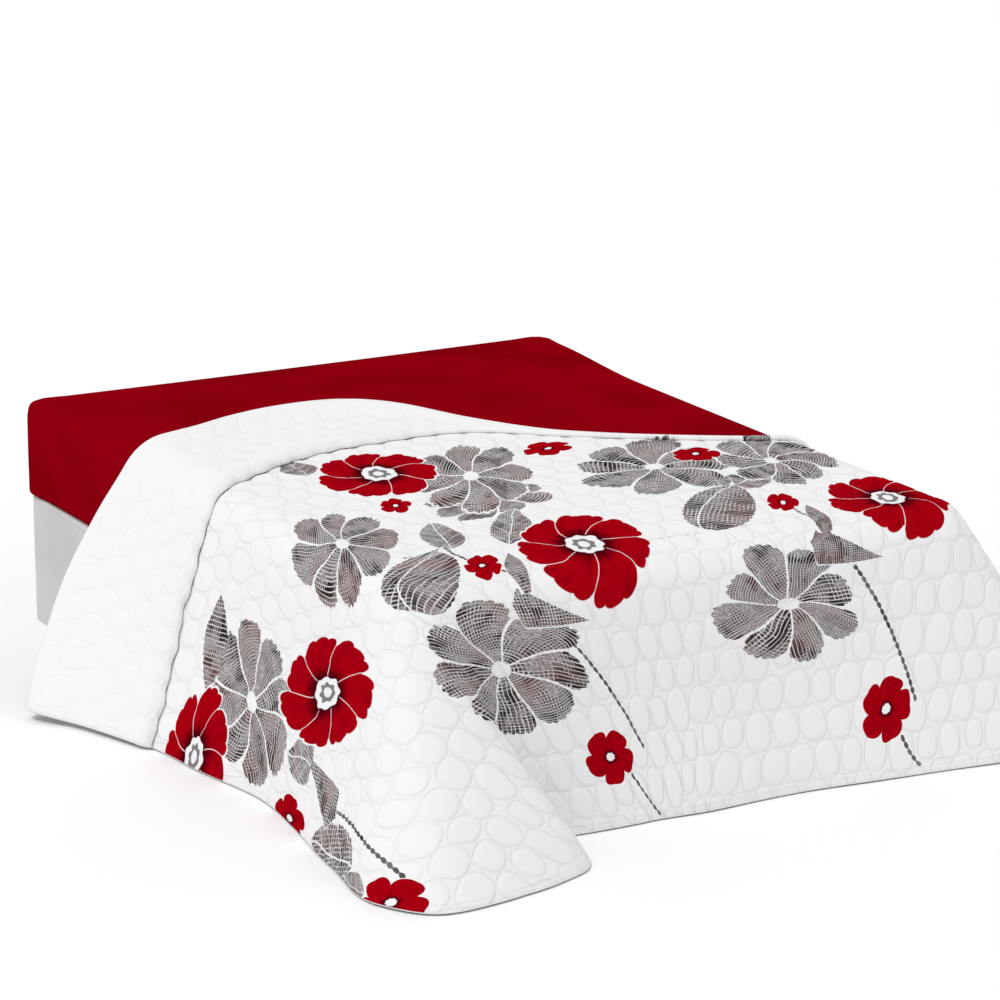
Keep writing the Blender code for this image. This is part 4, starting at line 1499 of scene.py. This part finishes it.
def make_base():
    """Upholstered base: rounded box with a stitched welt under its top edge."""
    half_x, half_y = BED_WIDTH / 2 - BASE_INSET, BED_LENGTH / 2 - BASE_INSET
    soft = BASE_EDGE
    inner_x, inner_y, corner = half_x - soft, half_y - soft, BASE_CORNER - soft
    x, y = rounded_grid(inner_x, inner_y, corner, 90, 120)
    row, column = border_loop(*x.shape)
    edge_x, edge_y = x[row, column], y[row, column]
    outwards = rounded_outwards(edge_x, edge_y, inner_x, inner_y, corner)
    length = np.where(np.abs(outwards[:, 0]) > 0.7, edge_y, edge_x)

    rings = []
    flat = np.zeros_like(length)
    top, low = BASE_HEIGHT - soft, soft
    for turn in np.linspace(0.0, np.pi / 2, 6)[1:]:
        rings.append((soft * np.sin(turn) + flat, top + soft * np.cos(turn) + flat))
    for height in np.concatenate([
        np.linspace(top, top - 0.020, 9)[1:],
        np.linspace(top - 0.020, low + 0.014, 22)[1:],
        np.linspace(low + 0.014, low, 7)[1:],
    ]):
        welt = WELT_DEEP * np.exp(-(((height - top + WELT_BELOW) / LINE_HALF) ** 2))
        hem = HEM_DEEP * np.exp(-(((height - low - HEM_ABOVE) / LINE_HALF) ** 2))
        slack = BASE_SLACK * swell(length, height + flat, 5, 0.18, 0.50, seed=21)
        ease = smoothstep(low, low + 0.05, height) * smoothstep(top, top - 0.06, height)
        rings.append((soft - welt - hem + ease * slack, height + flat))
    for turn in np.linspace(np.pi / 2, 0.0, 6)[1:]:
        rings.append((soft * np.sin(turn) + flat, soft * (1 - np.cos(turn)) + flat))
    base = boxed_form("bed_base", x, y, BASE_HEIGHT + 0 * x, outwards, rings)
    base.data.materials.append(woven_surface(
        "base_upholstery", BASE_LINEN, BASE_LINEN_SHADE, BASE_PITCH, BASE_ROUGHNESS, BASE_SHEEN,
        BASE_BUMP,
    ))
    return base


FLOOR_HALF = 30.0
FLOOR_WHITE = (0.96, 0.96, 0.96, 1.0)
FLOOR_SHADE = (0.95, 0.95, 0.95, 1.0)


def make_floor():
    half = FLOOR_HALF
    corners = np.array([(-half, -half, 0), (half, -half, 0), (half, half, 0), (-half, half, 0)])
    floor = make_mesh("studio_floor", corners, np.array([[0, 1, 2, 3]]))
    material, g, shader = new_material("pale_floor")
    place = g.node("ShaderNodeTexCoord", {}, "Object")
    tone = g.mix(g.noise(place, 0.7, 2.0), FLOOR_WHITE, FLOOR_SHADE)
    g.feed(shader.inputs["Base Color"], tone)
    shader.inputs["Roughness"].default_value = 0.9
    floor.data.materials.append(material)


def make_camera():
    """Camera at the photographed angle, aimed along its yaw and pitch."""
    sin_yaw, cos_yaw = np.sin(CAMERA_YAW), np.cos(CAMERA_YAW)
    sin_pitch, cos_pitch = np.sin(CAMERA_PITCH), np.cos(CAMERA_PITCH)
    ahead = Vector((sin_yaw * cos_pitch, cos_yaw * cos_pitch, -sin_pitch))
    right = Vector((cos_yaw, -sin_yaw, 0.0))
    up = right.cross(ahead)
    data = bpy.data.cameras.new("camera")
    data.lens, data.sensor_width = CAMERA_LENS, SENSOR
    data.clip_end = 100.0
    camera = bpy.data.objects.new("camera", data)
    camera.location = CAMERA_PLACE
    camera.rotation_euler = Matrix((right, up, -ahead)).transposed().to_euler()
    bpy.context.scene.collection.objects.link(camera)
    bpy.context.scene.camera = camera


def make_studio():
    world = bpy.data.worlds.new("studio")
    world.use_nodes = True
    sky = world.node_tree.nodes["Background"]
    sky.inputs["Color"].default_value = (1.0, 1.0, 1.0, 1.0)
    sky.inputs["Strength"].default_value = SKY_STRENGTH
    bpy.context.scene.world = world
    sun = bpy.data.lights.new("wide_sun", "SUN")
    sun.energy, sun.angle = SUN_STRENGTH, SUN_ANGLE
    lamp = bpy.data.objects.new("wide_sun", sun)
    lamp.rotation_euler = Vector(SUN_FROM).to_track_quat("Z", "Y").to_euler()
    bpy.context.scene.collection.objects.link(lamp)
    bpy.context.scene.view_settings.view_transform = "Standard"


GROUPS = make_groups()
make_camera()
make_studio()
make_floor()

base = make_base()
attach(base, "root")
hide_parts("base")

mattress = make_mattress()
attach(mattress, "root")
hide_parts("mattress")

quilt = make_quilt()
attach(quilt, "root")
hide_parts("quilt")
